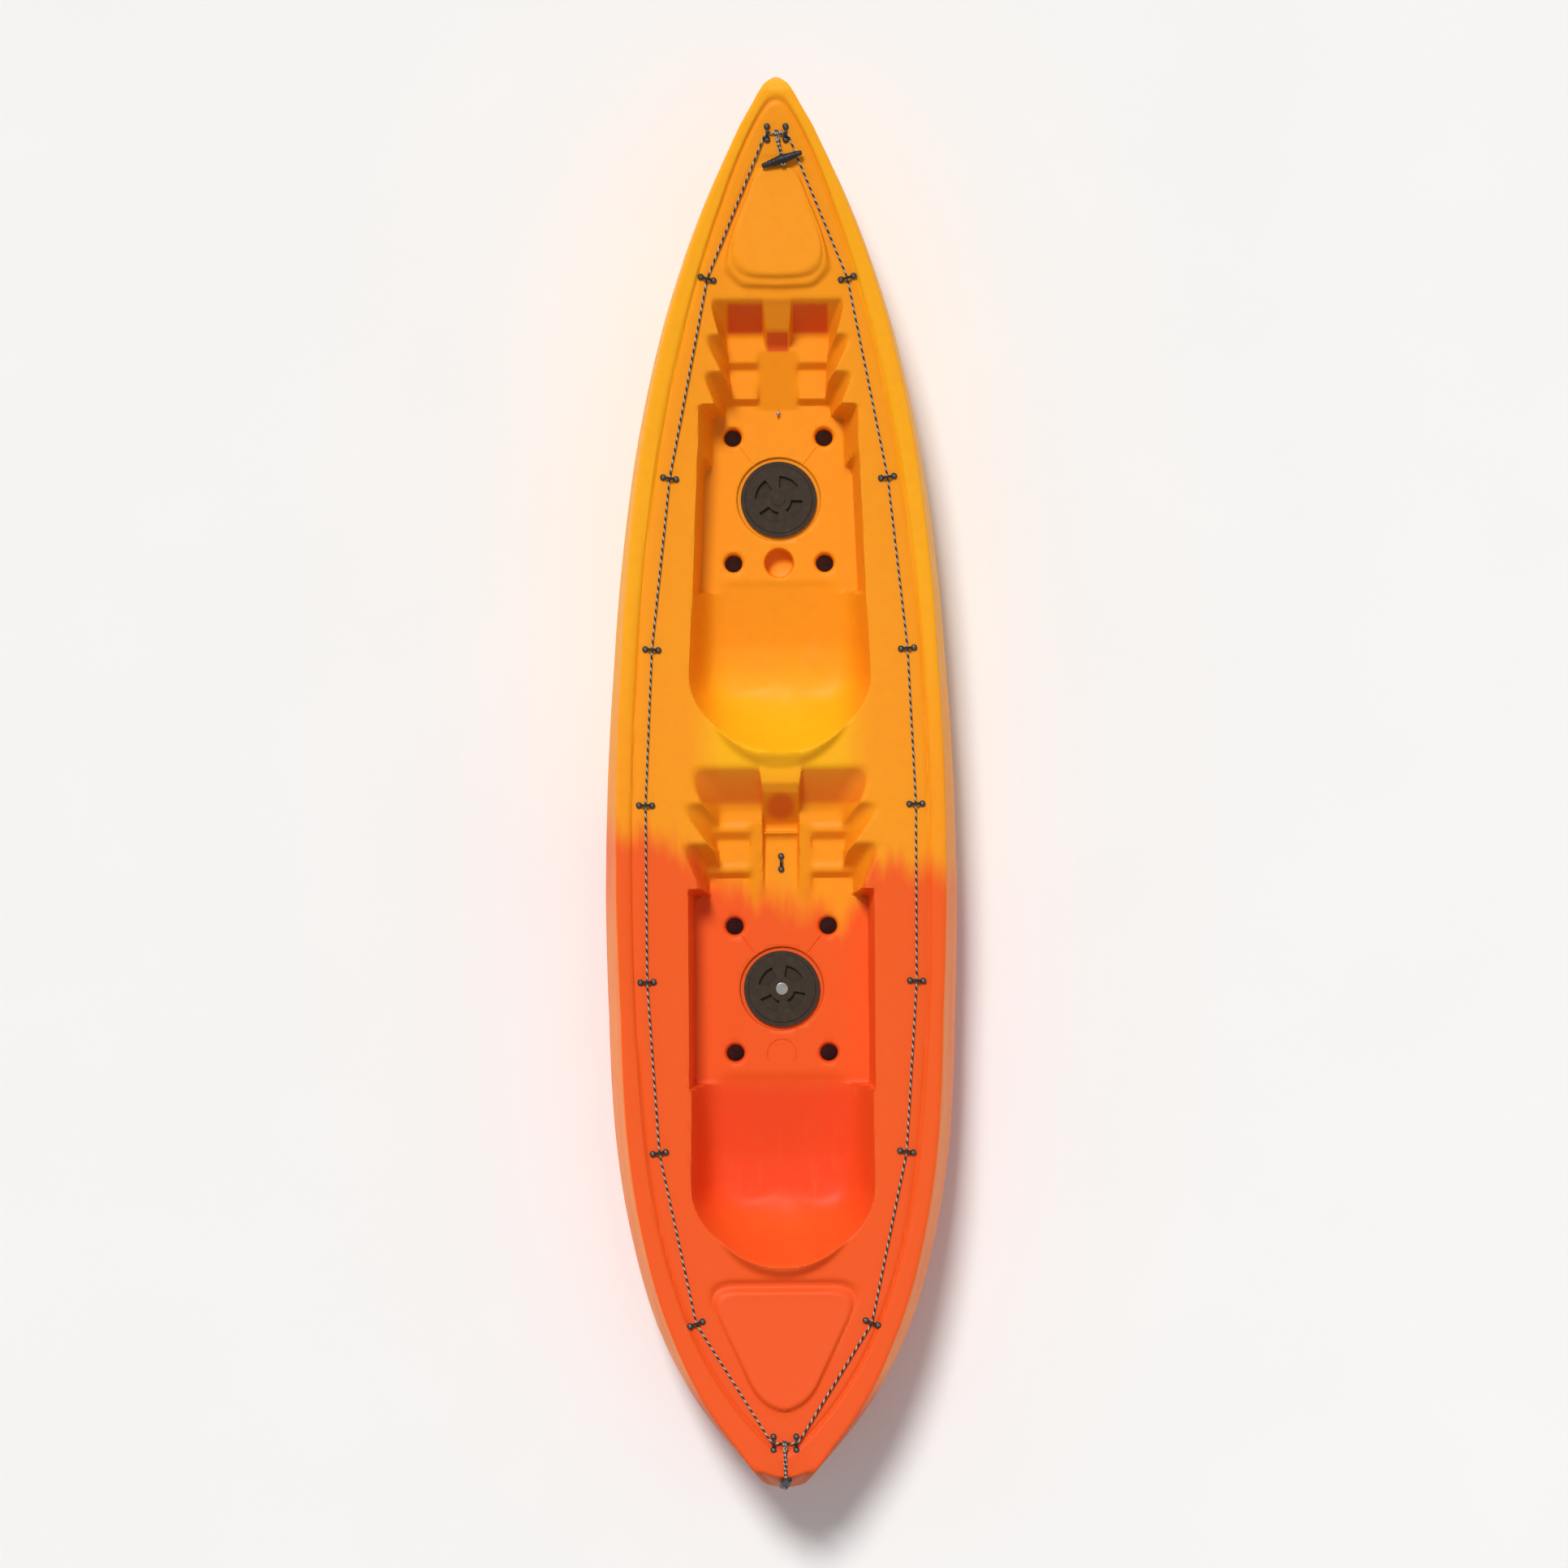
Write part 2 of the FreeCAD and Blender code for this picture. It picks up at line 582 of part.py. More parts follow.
def hull_shell(places):
    """The moulded hull: outside form and recesses, less the hollow that follows them."""
    outside = hull_form(0.0).fuse(panels(0.0) + seat_lips())
    cutters = recesses(0.0) + tunnels(0.0) + scuppers(0.0)
    for y in (FRONT_HATCH_Y, REAR_HATCH_Y):
        barrel_r = HATCH_BORE_R + HATCH_BARREL_WALL + 0.5
        cutters.append(Part.makeCylinder(barrel_r, 60, Vec(0, y, FLOOR - 50)))
        for x, screw_y in ring_screw_places(y):
            cutters.append(Part.makeCylinder(1.7, 30, Vec(x, screw_y, FLOOR - 25)))
    cutters.append(Part.makeCylinder(SCREW_R + SCREW_CLEARANCE, 16, Vec(0, FRONT_CENTRE_EYE_Y, FLOOR - 12)))
    for placement in places.values():
        cutters.extend(eye_holes_at(placement))
    outside = outside.cut(cutters)
    hollow = hull_form(WALL).fuse(panels(WALL))
    hollow = hollow.cut(recesses(WALL) + tunnels(WALL) + scuppers(WALL))
    return outside.cut(hollow)


def disc(r, low, high, y):
    """Upright cylinder on the centreline at y."""
    return Part.makeCylinder(r, high - low, Vec(0, y, low))


def sector(r_in, r_out, low, high, y, middle, span):
    """Part of a ring between two angles, on the centreline at y."""
    pie = Part.makeCylinder(r_out, high - low, Vec(0, 0, low), Vec(0, 0, 1), span)
    pie.rotate(Vec(0, 0, 0), Vec(0, 0, 1), middle - span / 2)
    pie.translate(Vec(0, y, 0))
    return pie.cut(disc(r_in, low, high, y))


def hatch(prefix, y, pocket_turn):
    """Deck ring, its screws, the lid and the lid's seal."""
    seat = FLOOR - HATCH_RECESS
    flange_top = seat + HATCH_FLANGE
    lid_under = flange_top + 0.2
    lid_top = lid_under + LID_TOP
    barrel_r = HATCH_BORE_R + HATCH_BARREL_WALL
    ring = disc(HATCH_R, seat, lid_top - 1.5, y).cut(disc(LID_R + LID_GAP, flange_top, lid_top + 1, y))
    ring = ring.fuse(disc(barrel_r, seat - HATCH_BARREL, seat, y))
    ring = ring.cut(disc(HATCH_BORE_R, seat - HATCH_BARREL - 1, lid_top + 1, y))
    screw = screw_shape(3.4, 2.0, 1.6, 12.0)
    screws = []
    for x, screw_y in ring_screw_places(y):
        ring = ring.cut(Part.makeCylinder(1.7, 30, Vec(x, screw_y, seat - 5)))
        ring = ring.cut(Part.makeCylinder(3.6, 10, Vec(x, screw_y, flange_top - 2.3)))
        one = screw.copy()
        one.translate(Vec(x, screw_y, flange_top - 2.25))
        screws.append(one)
    save(prefix + "_ring", ring)
    save(prefix + "_ring_screws", Part.makeCompound(screws))

    spigot_r = HATCH_BORE_R - 0.5
    spigot_low = lid_under - LID_SPIGOT
    seal_low = spigot_low + 4.0
    groove_r = spigot_r - SEAL_WIDTH + 0.4
    lid = disc(LID_R, lid_under, lid_top, y).fuse(disc(spigot_r, spigot_low, lid_under, y))
    crown = [edge for edge in lid.Edges if edge.BoundBox.ZMin > lid_top - 0.01]
    lid = lid.makeFillet(2.0, crown)
    groove = disc(spigot_r + 1, seal_low - 0.1, seal_low + SEAL_HEIGHT + 0.1, y)
    lid = lid.cut(groove.cut(disc(groove_r, seal_low - 1, seal_low + SEAL_HEIGHT + 1, y)))
    for turn in range(4):
        middle = pocket_turn + 90.0 * turn
        lid = lid.cut(sector(POCKET["r_in"], POCKET["r_out"], lid_top - POCKET["depth"], lid_top + 5,
                             y, middle, POCKET["span"]))
    lid = lid.cut(disc(5.0, spigot_low - 1, lid_top + 5, y))
    save(prefix + "_lid", lid)
    seal = disc(HATCH_BORE_R - 0.05, seal_low, seal_low + SEAL_HEIGHT, y)
    save(prefix + "_seal", seal.cut(disc(groove_r + 0.1, seal_low - 1, seal_low + SEAL_HEIGHT + 1, y)))
    return lid_top


def centre_pieces(lid_top):
    """Cap in the front lid's middle, and the broad slotted screw in the rear lid's middle."""
    gap = 0.05
    cap = disc(CENTRE_R, lid_top + gap, lid_top + 2.5, FRONT_HATCH_Y)
    edge = [e for e in cap.Edges if e.BoundBox.ZMin > lid_top + 2.4]
    cap = cap.makeFillet(1.2, edge)
    cap = cap.fuse(disc(4.92, lid_top - 9, lid_top + gap, FRONT_HATCH_Y))
    save("front_hatch_center_cap", cap)
    screw = disc(CENTRE_R - 0.5, lid_top + gap, lid_top + 3.2, REAR_HATCH_Y)
    edge = [e for e in screw.Edges if e.BoundBox.ZMin > lid_top + 3.1]
    screw = screw.makeFillet(1.5, edge)
    slot = Part.makeBox(26, 3.2, 6, Vec(-13, -1.6, lid_top + 1.4))
    slot.rotate(Vec(0, 0, 0), Vec(0, 0, 1), 35)
    slot.translate(Vec(0, REAR_HATCH_Y, 0))
    screw = screw.cut(slot).fuse(disc(4.92, lid_top - 12, lid_top + gap, REAR_HATCH_Y))
    save("rear_hatch_center_screw", screw)


def front_centre_eye():
    """Small steel eye standing on the front cockpit floor, turned a little off the centreline."""
    eye = Part.makeTorus(6.0, 2.0, Vec(0, 0, 9.5), Vec(0, 1, 0))
    eye = eye.fuse(Part.makeCylinder(5.5, 2.0))
    eye = eye.fuse(Part.makeCylinder(SCREW_R, 14, Vec(0, 0, -12)))
    eye.translate(Vec(0, 0, EYE_GAP))
    return carried(eye, deck_frame(0, FRONT_CENTRE_EYE_Y, FLOOR, 72, 0))


def toggle_handle(centre, axis):
    """Barrel handle, thick in the middle, with its middle at centre and its length along axis."""
    half = TOGGLE_LENGTH / 2
    face_r = TOGGLE_END_R - 1.5
    swell = 2 * TOGGLE_R - TOGGLE_END_R
    side = Part.BSplineCurve()
    side.buildFromPoles([
        Vec(-half, 0, face_r), Vec(-half, 0, TOGGLE_END_R), Vec(-0.7 * half, 0, TOGGLE_END_R + 0.5),
        Vec(0, 0, swell), Vec(0.7 * half, 0, TOGGLE_END_R + 0.5), Vec(half, 0, TOGGLE_END_R),
        Vec(half, 0, face_r),
    ], False, 3)
    outline = Part.Wire([
        Part.makeLine(Vec(-half, 0, 0), Vec(-half, 0, face_r)), side.toShape(),
        Part.makeLine(Vec(half, 0, face_r), Vec(half, 0, 0)), Part.makeLine(Vec(half, 0, 0), Vec(-half, 0, 0)),
    ])
    barrel = Part.Face(outline).revolve(Vec(0, 0, 0), Vec(1, 0, 0), 360)
    return carried(barrel, FreeCAD.Placement(centre, FreeCAD.Rotation(Vec(1, 0, 0), axis)))


def toggle(prefix, anchor, centre, axis):
    """Handle, its rope and the rope's end knot; the rope loops round the deck line at anchor."""
    run = centre - anchor
    unit = run * (1.0 / run.Length)
    hole = Part.makeCylinder(ROPE_R + 0.4, 60, centre - unit * 30, unit)
    handle = toggle_handle(centre, axis).cut(hole)
    save(prefix + "_handle", handle)
    rope_start = LOOP_R + 1.0
    rope_end = run.Length + TOGGLE_R - 2.0
    rope = Part.makeCylinder(ROPE_R, rope_end - rope_start, anchor + unit * rope_start, unit)
    loop = Part.makeTorus(LOOP_R, LOOP_TUBE, anchor, Vec(1, 0, 0))
    clear = Part.makeCylinder(LOOP_R - LOOP_TUBE, 40, anchor - Vec(20, 0, 0), Vec(1, 0, 0))
    rope = rope.fuse(loop).cut(clear)
    knot = Part.makeSphere(TOGGLE_KNOT_R, centre + unit * (TOGGLE_R + 2.5))
    save(prefix + "_rope", rope)
    save(prefix + "_knot", knot.cut(handle).cut(rope))


def main():
    """Build every sub-part and write it to its own file."""
    os.makedirs("parts", exist_ok=True)
    places = fitting_placements()
    save("hull_shell", hull_shell(places))
    lid_top = hatch("front_hatch", FRONT_HATCH_Y, FRONT_POCKET_TURN)
    hatch("rear_hatch", REAR_HATCH_Y, REAR_POCKET_TURN)
    centre_pieces(lid_top)
    eye = pad_eye_shape()
    for name, placement in places.items():
        save(name, carried(eye, placement))
    groups = {"port_pad_eye_": "port_pad_eye_screws", "starboard_pad_eye_": "starboard_pad_eye_screws",
              "bow_pad_eye_": "bow_pad_eye_screws", "stern_pad_eye_": "stern_pad_eye_screws",
              "rear_center_": "rear_center_pad_eye_screws"}
    for start, group in groups.items():
        screws = []
        for name, placement in places.items():
            if name.startswith(start):
                screws.extend(eye_screws_at(placement))
        save(group, Part.makeCompound(screws))
    save("front_center_eye", front_centre_eye())
    line = perimeter_line()
    save("perimeter_line", line)
    knot_at = Vec(LINE_KNOT_X, BOW_EYE[1], deck_z(BOW_EYE[1]) + LINE_HIGH)
    save("bow_line_knot", Part.makeSphere(LINE_KNOT_R, knot_at).cut(line))
    bow_anchor = Vec(0, BOW_EYE[1], deck_z(BOW_EYE[1]) + LINE_HIGH)
    stern_anchor = Vec(0, STERN_EYE[1], deck_z(STERN_EYE[1]) + LINE_HIGH)
    toggle("bow_toggle", bow_anchor, BOW_TOGGLE, BOW_TOGGLE_AXIS)
    toggle("stern_toggle", stern_anchor, STERN_TOGGLE, STERN_TOGGLE_AXIS)


main()
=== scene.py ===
import json
import math

import bmesh
import bpy
import numpy as np
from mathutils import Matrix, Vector


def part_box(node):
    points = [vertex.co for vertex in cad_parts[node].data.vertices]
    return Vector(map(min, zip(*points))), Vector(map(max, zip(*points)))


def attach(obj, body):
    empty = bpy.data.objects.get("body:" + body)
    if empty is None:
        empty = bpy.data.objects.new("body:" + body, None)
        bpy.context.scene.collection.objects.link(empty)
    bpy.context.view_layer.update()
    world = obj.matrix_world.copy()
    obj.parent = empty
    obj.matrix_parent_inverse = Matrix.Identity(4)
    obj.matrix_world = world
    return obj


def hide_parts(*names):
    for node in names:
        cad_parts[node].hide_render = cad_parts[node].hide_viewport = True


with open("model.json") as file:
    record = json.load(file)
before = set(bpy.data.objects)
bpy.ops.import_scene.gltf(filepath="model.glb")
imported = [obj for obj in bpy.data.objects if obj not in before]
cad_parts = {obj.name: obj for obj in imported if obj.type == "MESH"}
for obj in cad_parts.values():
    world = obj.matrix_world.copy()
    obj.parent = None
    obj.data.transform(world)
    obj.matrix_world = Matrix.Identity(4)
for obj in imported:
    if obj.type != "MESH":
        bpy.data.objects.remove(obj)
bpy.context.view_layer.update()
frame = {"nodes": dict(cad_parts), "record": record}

# Places along the hull, measured from its middle.
HALF = 1.830
DECK_END = 1.786
KEEL_END = 1.700
KEEL_FLAT = 1.100
OUTLINE = [
    (-1.830, 0.020), (-1.781, 0.073), (-1.679, 0.166), (-1.368, 0.335), (-0.868, 0.433),
    (-0.310, 0.452), (0.272, 0.434), (0.896, 0.358), (1.370, 0.238), (1.691, 0.105), (1.830, 0.026),
]
DECK = 0.300
BOW_SHEER = (0.300, 0.090)
STERN_SHEER = (0.400, 0.060)
BOW_ROCKER = 0.200
STERN_ROCKER = 0.170
BOW_TIP_Z = 0.300
STERN_TIP_Z = 0.190
TIP_ROUND = 0.030
APEX_ROUND = 0.030
FLOOR = 0.165
FRONT_PLATFORMS = (0.215, 0.190)
REAR_PLATFORMS = (0.205, 0.185)
SEAT_FLOOR = 0.138
LIP_HEIGHT = 0.026
LIP_SLOPE = 1.20
WALL = 0.009
RIB_ROUND = 0.012

CAMERA = {"height": 18.0, "width": 4.06, "turn": -0.0066, "starboard": 0.009}
SUN = {"bearing": 21.0, "elevation": 56.0, "energy": 2.48, "softness": 15.0}
FILL = {"place": (2.8, -1.5, 6.5), "target": (0.0, 0.0, 0.2), "size": 5.0, "power": 24.0}
SKY = {"From Min": 0.05, "From Max": 0.50, "To Min": 0.85, "To Max": 0.27}
HULL_GRID = {"rows": 600, "deck_columns": 112, "side_columns": 22, "bottom_columns": 14}

HATCHES_Y = (0.742, -0.534)
CUP_Y = 0.576
CUP_RING = {"y": -0.705, "r": 0.038, "line": 0.0021}
TUNNEL = {"x": 0.1205, "z": -0.040, "r": 0.064, "end": 1.000}
DRAINS = ((0.904, 0.119), (0.576, 0.119), (-0.371, 0.122), (-0.702, 0.122))
DRAIN_PLACES = [(side * x, y) for y, x in DRAINS for side in (-1, 1)]
GROOVE_DEPTH = 0.0027
GROOVE_R = 0.0024

# Change of the half beam along the hull, as (y, change), so that the outline follows the photograph.
TRIM = [
    (1.83, -0.004), (1.80, -0.007), (1.75, -0.006), (1.70, -0.003), (1.60, -0.003), (1.40, 0.003),
    (1.20, 0.007), (0.90, 0.007), (0.60, 0.003), (0.30, 0.0), (0.0, 0.003), (-0.30, 0.005),
    (-0.60, 0.002), (-0.90, 0.007), (-1.20, 0.007), (-1.40, 0.010), (-1.60, 0.008), (-1.70, 0.006),
    (-1.78, 0.008), (-1.80, 0.012), (-1.815, 0.018), (-1.827, 0.008), (-1.83, 0.0),
]
# Width of the rim strip, and of the rounded edge of the deck, as (y, width).
RIM_LINE = [(1.75, 0.028), (1.5, 0.044), (1.2, 0.050), (-0.8, 0.072)]
EDGE_LINE = [(1.80, 0.006), (1.60, 0.014), (0.90, 0.020), (0.0, 0.030), (-0.60, 0.037), (-1.10, 0.036),
             (-1.45, 0.036), (-1.60, 0.028), (-1.72, 0.022), (-1.80, 0.008)]

# Recess bays: bow edge at the deck and at the floor, then stern edge at the deck and at the floor, as
# (y, half width), and the height of the bay's floor.
FRONT_BAYS = [
    ((1.255, 0.178), (1.168, 0.150), (1.085, 0.132), (1.085, 0.126), FRONT_PLATFORMS[0]),
    ((1.164, 0.196), (1.085, 0.138), (1.052, 0.140), (1.052, 0.126), FRONT_PLATFORMS[1]),
    ((1.150, 0.140), (1.085, 0.130), (0.980, 0.130), (0.980, 0.122), FRONT_PLATFORMS[1]),
    ((1.068, 0.198), (0.990, 0.140), (0.945, 0.150), (0.945, 0.138), FLOOR),
    ((0.984, 0.207), (0.958, 0.168), (0.812, 0.210), (0.812, 0.172), FLOOR),
    ((0.868, 0.209), (0.826, 0.190), (0.500, 0.226), (0.500, 0.206), FLOOR),
]
REAR_BAYS = [
    ((0.047, 0.250), (-0.060, 0.178), (-0.128, 0.170), (-0.128, 0.158), REAR_PLATFORMS[0]),
    ((-0.048, 0.266), (-0.128, 0.186), (-0.170, 0.180), (-0.170, 0.166), REAR_PLATFORMS[1]),
    ((-0.060, 0.190), (-0.128, 0.168), (-0.250, 0.168), (-0.250, 0.160), REAR_PLATFORMS[1]),
    ((-0.152, 0.262), (-0.232, 0.196), (-0.300, 0.196), (-0.300, 0.186), FLOOR),
    ((-0.272, 0.241), (-0.288, 0.226), (-0.780, 0.241), (-0.780, 0.228), FLOOR),
]
# Seats: front edge, lowest point and stern edge along the hull, then half width at the front and at the
# lowest point. Lips behind them: centre and stern edge of the round rim.
SEATS = [(0.524, 0.287, 0.082, 0.2265, 0.240), (-0.763, -1.040, -1.247, 0.2415, 0.243)]
SEAT_LIPS = ((0.232, 0.042), (-1.097, -1.278))

# Raised and sunk plates: each edge is a point, the outward normal and the rounding of its corner.
BOW_PLATE = [
    ((0.043, 1.586), (0.214, 0.083), 0.0), ((0.127, 1.372), (0.090, -0.010), 0.040),
    ((0.0, 1.314), (0.04, -1.0), 0.080), ((0.0, 1.588), (0.0, 1.0), 0.040),
]
STERN_PAD = [
    ((0.163, -1.3845), (1.0, -0.480), 0.0), ((0.0, -1.314), (0.0, 1.0), 0.075),
    ((0.0, -1.619), (0.0, -1.0), 0.075),
]
STERN_BASIN = [((0.205, -1.316), (0.312, -0.138), 0.0), ((0.0, -1.280), (0.0, 1.0), 0.080)]

# Turned profiles, (radius, z) from the bottom up.
DRAIN_PROFILE = [
    (0.030, -0.03), (0.0255, 0.020), (0.0232, 0.030), (0.0228, 0.080), (0.0228, 0.150),
    (0.0236, 0.1555), (0.0256, 0.1602), (0.0290, 0.1640), (0.0330, 0.1662), (0.0330, 0.215),
]
HATCH_SEAT = 0.157
HATCH_PROFILE = [
    (0.0765, 0.100), (0.0765, HATCH_SEAT), (0.1070, HATCH_SEAT), (0.1082, HATCH_SEAT + 0.002),
    (0.1092, 0.1620), (0.1106, 0.1645), (0.1130, 0.1660), (0.1130, 0.200),
]
CUP_LOW = FLOOR - 0.055
CUP_PROFILE = [
    (0.030, CUP_LOW), (0.0335, CUP_LOW + 0.0015), (0.0350, CUP_LOW + 0.006), (0.0378, FLOOR - 0.006),
    (0.0388, FLOOR - 0.0025), (0.0410, FLOOR - 0.0002), (0.0430, FLOOR + 0.0005), (0.0430, FLOOR + 0.04),
]


def placed(name, data):
    """New object with the data, linked to the scene."""
    obj = bpy.data.objects.new(name, data)
    bpy.context.collection.objects.link(obj)
    return obj


# ---- camera, light and floor

def look_down_camera(height, width, turn, starboard):
    """Camera straight above the kayak, with the bow at the top of the picture."""
    data = bpy.data.cameras.new("camera")
    data.sensor_width = 36.0
    data.lens = data.sensor_width * (height - DECK) / width
    data.clip_end = 100.0
    camera = placed("camera", data)
    camera.location = (starboard, 0.0, height)
    camera.rotation_euler = (0.0, 0.0, turn)
    bpy.context.scene.camera = camera


def area_light(name, place, target, size, power):
    """Soft square light aimed at a point."""
    data = bpy.data.lights.new(name, "AREA")
    data.shape = "SQUARE"
    data.size = size
    data.energy = power
    lamp = placed(name, data)
    lamp.location = place
    aim = Vector(target) - Vector(place)
    lamp.rotation_euler = aim.to_track_quat("-Z", "Y").to_euler()


def soft_sun(bearing, elevation, energy, softness):
    """Broad sun; the bearing is turned from the bow towards port, all angles in degrees."""
    data = bpy.data.lights.new("sun", "SUN")
    data.energy = energy
    data.angle = math.radians(softness)
    data.color = (1.0, 0.985, 0.96)
    lamp = placed("sun", data)
    turn = math.radians(bearing)
    lift = math.radians(elevation)
    to_sun = Vector((-math.sin(turn) * math.cos(lift), math.cos(turn) * math.cos(lift), math.sin(lift)))
    lamp.rotation_euler = to_sun.to_track_quat("Z", "Y").to_euler()


# ---- shape of the hull

def natural_spline(knots, values):
    """Natural cubic spline through the knots, as a function of arrays."""
    x = np.array(knots)
    v = np.array(values)
    n = len(x)
    h = np.diff(x)
    a = np.eye(n)
    rhs = np.zeros(n)
    for i in range(1, n - 1):
        a[i, i - 1] = h[i - 1]
        a[i, i] = 2 * (h[i - 1] + h[i])
        a[i, i + 1] = h[i]
        rhs[i] = 6 * ((v[i + 1] - v[i]) / h[i] - (v[i] - v[i - 1]) / h[i - 1])
    m = np.linalg.solve(a, rhs)

    def value(at):
        at = np.clip(at, x[0], x[-1])
        i = np.clip(np.searchsorted(x, at) - 1, 0, n - 2)
        left = x[i + 1] - at
        right = at - x[i]
        return (
            (m[i] * left ** 3 + m[i + 1] * right ** 3) / (6 * h[i])
            + (v[i] / h[i] - m[i] * h[i] / 6) * left
            + (v[i + 1] / h[i] - m[i + 1] * h[i] / 6) * right
        )
    return value


half_beam_line = natural_spline([y for y, w in OUTLINE], [w for y, w in OUTLINE])


def half_beam(y):
    """Half the beam at y, with the blunt tips rounded off."""
    start = HALF - TIP_ROUND
    t = np.clip((np.abs(y) - start) / TIP_ROUND, 0.0, 1.0)
    return half_beam_line(y) * np.sqrt(np.maximum(1.0 - t ** 2, 0.0))


def deck_z(y):
    """Height of the deck, the same parabolas as the hull's structure."""
    y = np.asarray(y, float)
    bow = BOW_SHEER[1] * (np.maximum(y - BOW_SHEER[0], 0.0) / (HALF - BOW_SHEER[0])) ** 2
    stern = STERN_SHEER[1] * (np.maximum(-y - STERN_SHEER[0], 0.0) / (HALF - STERN_SHEER[0])) ** 2
    return DECK + bow + stern


def keel_z(y):
    """Height of the keel along its parabolas."""
    y = np.asarray(y, float)
    rise = np.where(y > 0, BOW_ROCKER, STERN_ROCKER)
    beyond = np.maximum(np.abs(y) - KEEL_FLAT, 0.0) / (HALF - KEEL_FLAT)
    return rise * beyond ** 2


def bezier(poles, count=200):
    """Points along a cubic curve."""
    t = np.linspace(0.0, 1.0, count)[:, None]
    p = np.array(poles)
    return (1 - t) ** 3 * p[0] + 3 * (1 - t) ** 2 * t * p[1] + 3 * (1 - t) * t ** 2 * p[2] + t ** 3 * p[3]


def end_curves(side):
    """Top and bottom profile at one end as (y, z) arrays, side is 1 at the bow and -1 at the stern."""
    deck = float(deck_z(side * DECK_END))
    keel = float(keel_z(side * KEEL_END))
    rise = BOW_ROCKER if side > 0 else STERN_ROCKER
    slope = 2 * rise * (KEEL_END - KEEL_FLAT) / (HALF - KEEL_FLAT) ** 2
    if side > 0:
        deck_slope = float(deck_z(DECK_END + 0.0005) - deck_z(DECK_END - 0.0005)) / 0.001
        tip = BOW_TIP_Z
        top = bezier([(DECK_END, deck), (DECK_END + 0.026, deck + 0.026 * deck_slope), (HALF, tip + 0.045),
                      (HALF, tip)])
        bottom = bezier([(KEEL_END, keel), (KEEL_END + 0.045, keel + 0.045 * slope), (HALF, tip - 0.075),
                         (HALF, tip)])
    else:
        tip = STERN_TIP_Z
        top = bezier([(DECK_END, deck), (DECK_END + 0.014, deck), (HALF, deck - 0.090), (HALF, tip)])
        bottom = bezier([(KEEL_END, keel), (KEEL_END + 0.045, keel + 0.045 * slope), (HALF, tip - 0.045),
                         (HALF, tip)])
    return top, bottom


END_CURVES = {side: end_curves(side) for side in (1, -1)}


def top_z(y):
    """Height of the deck along the middle, curving down at the tips."""
    z = deck_z(y)
    for side, (top, bottom) in END_CURVES.items():
        at = side * y
        z = np.where(at > DECK_END, np.interp(at, top[:, 0], top[:, 1]), z)
    return z


def bottom_z(y):
    """Height of the keel along the middle, curving up at the tips."""
    z = keel_z(y)
    for side, (top, bottom) in END_CURVES.items():
        at = side * y
        z = np.where(at > KEEL_END, np.interp(at, bottom[:, 0], bottom[:, 1]), z)
    return z


def soft_min(a, b, k):
    """Lower of two heights, with the corner between them rounded."""
    h = np.maximum(k - np.abs(a - b), 0.0) / k
    return np.minimum(a, b) - h * h * k * 0.25


def soft_max(a, b, k):
    """Higher of two heights, with the corner between them rounded."""
    return -soft_min(-a, -b, k)


def ease(low, high, value):
    """Smooth step from 0 at low to 1 at high."""
    t = np.clip((value - low) / (high - low), 0.0, 1.0)
    return t * t * (3.0 - 2.0 * t)


def ramp(y, stations):
    """Straight-line interpolation through (y, value) stations, given bow to stern."""
    ys = [s[0] for s in stations][::-1]
    vs = [s[1] for s in stations][::-1]
    return np.interp(y, ys, vs)


def walls(x, y, bow_deck, bow_floor, stern_deck, stern_floor, low, grow):
    """Height of the sloping walls round one recess; each edge is (y, half width)."""
    high = float(deck_z(bow_deck[0]))
    share = (y - stern_deck[0]) / (bow_deck[0] - stern_deck[0])
    wide_deck = stern_deck[1] + (bow_deck[1] - stern_deck[1]) * share
    wide_floor = stern_floor[1] + (bow_floor[1] - stern_floor[1]) * share
    lean = np.maximum(wide_deck - wide_floor, 0.006)
    side = low + (high - low) * (np.abs(x) - wide_floor - grow) / lean
    bow = low + (high - low) * (y - bow_floor[0] - grow) / (bow_deck[0] - bow_floor[0])
    stern_lean = max(stern_floor[0] - stern_deck[0], 0.010)
    stern = low + (high - low) * (stern_floor[0] - grow - y) / stern_lean
    return soft_max(soft_max(side, bow, 0.07), stern, 0.06)


def well(x, y, floor, bays, grow):
    """One recess made of several bays that share a floor."""
    wall = walls(x, y, *bays[0], grow)
    for bay in bays[1:]:
        wall = soft_min(wall, walls(x, y, *bay, grow), 0.014)
    return soft_max(floor - grow, wall, 0.018)


def buttress(x, y, tops, halves, lean, grow):
    """Raised rib down the middle of a foot wall; tops and halves are (y, value) stations."""
    crown = tops[0][1]
    side = crown - (np.abs(x) - ramp(y, halves) + grow) * lean
    return soft_min(ramp(y, tops) - grow, side, 0.03)


def front_recess(x, y, grow):
    """Front cockpit: stepped foot braces with three scalloped bays a side, then the flat floor."""
    high, low = FRONT_PLATFORMS
    stepped = ramp(y, [(1.097, high), (1.078, low), (1.003, low), (0.987, FLOOR)])
    sloped = ramp(y, [(1.125, high), (0.975, FLOOR)])
    floor = sloped + (stepped - sloped) * ease(0.046, 0.056, np.abs(x))
    rib = buttress(x, y, [(1.270, 0.345), (1.254, 0.333), (1.180, 0.272), (1.126, 0.205), (1.10, 0.1)],
                   [(1.262, 0.037), (1.126, 0.018)], 10.0, grow)
    return soft_max(well(x, y, floor, FRONT_BAYS, grow), rib, RIB_ROUND)


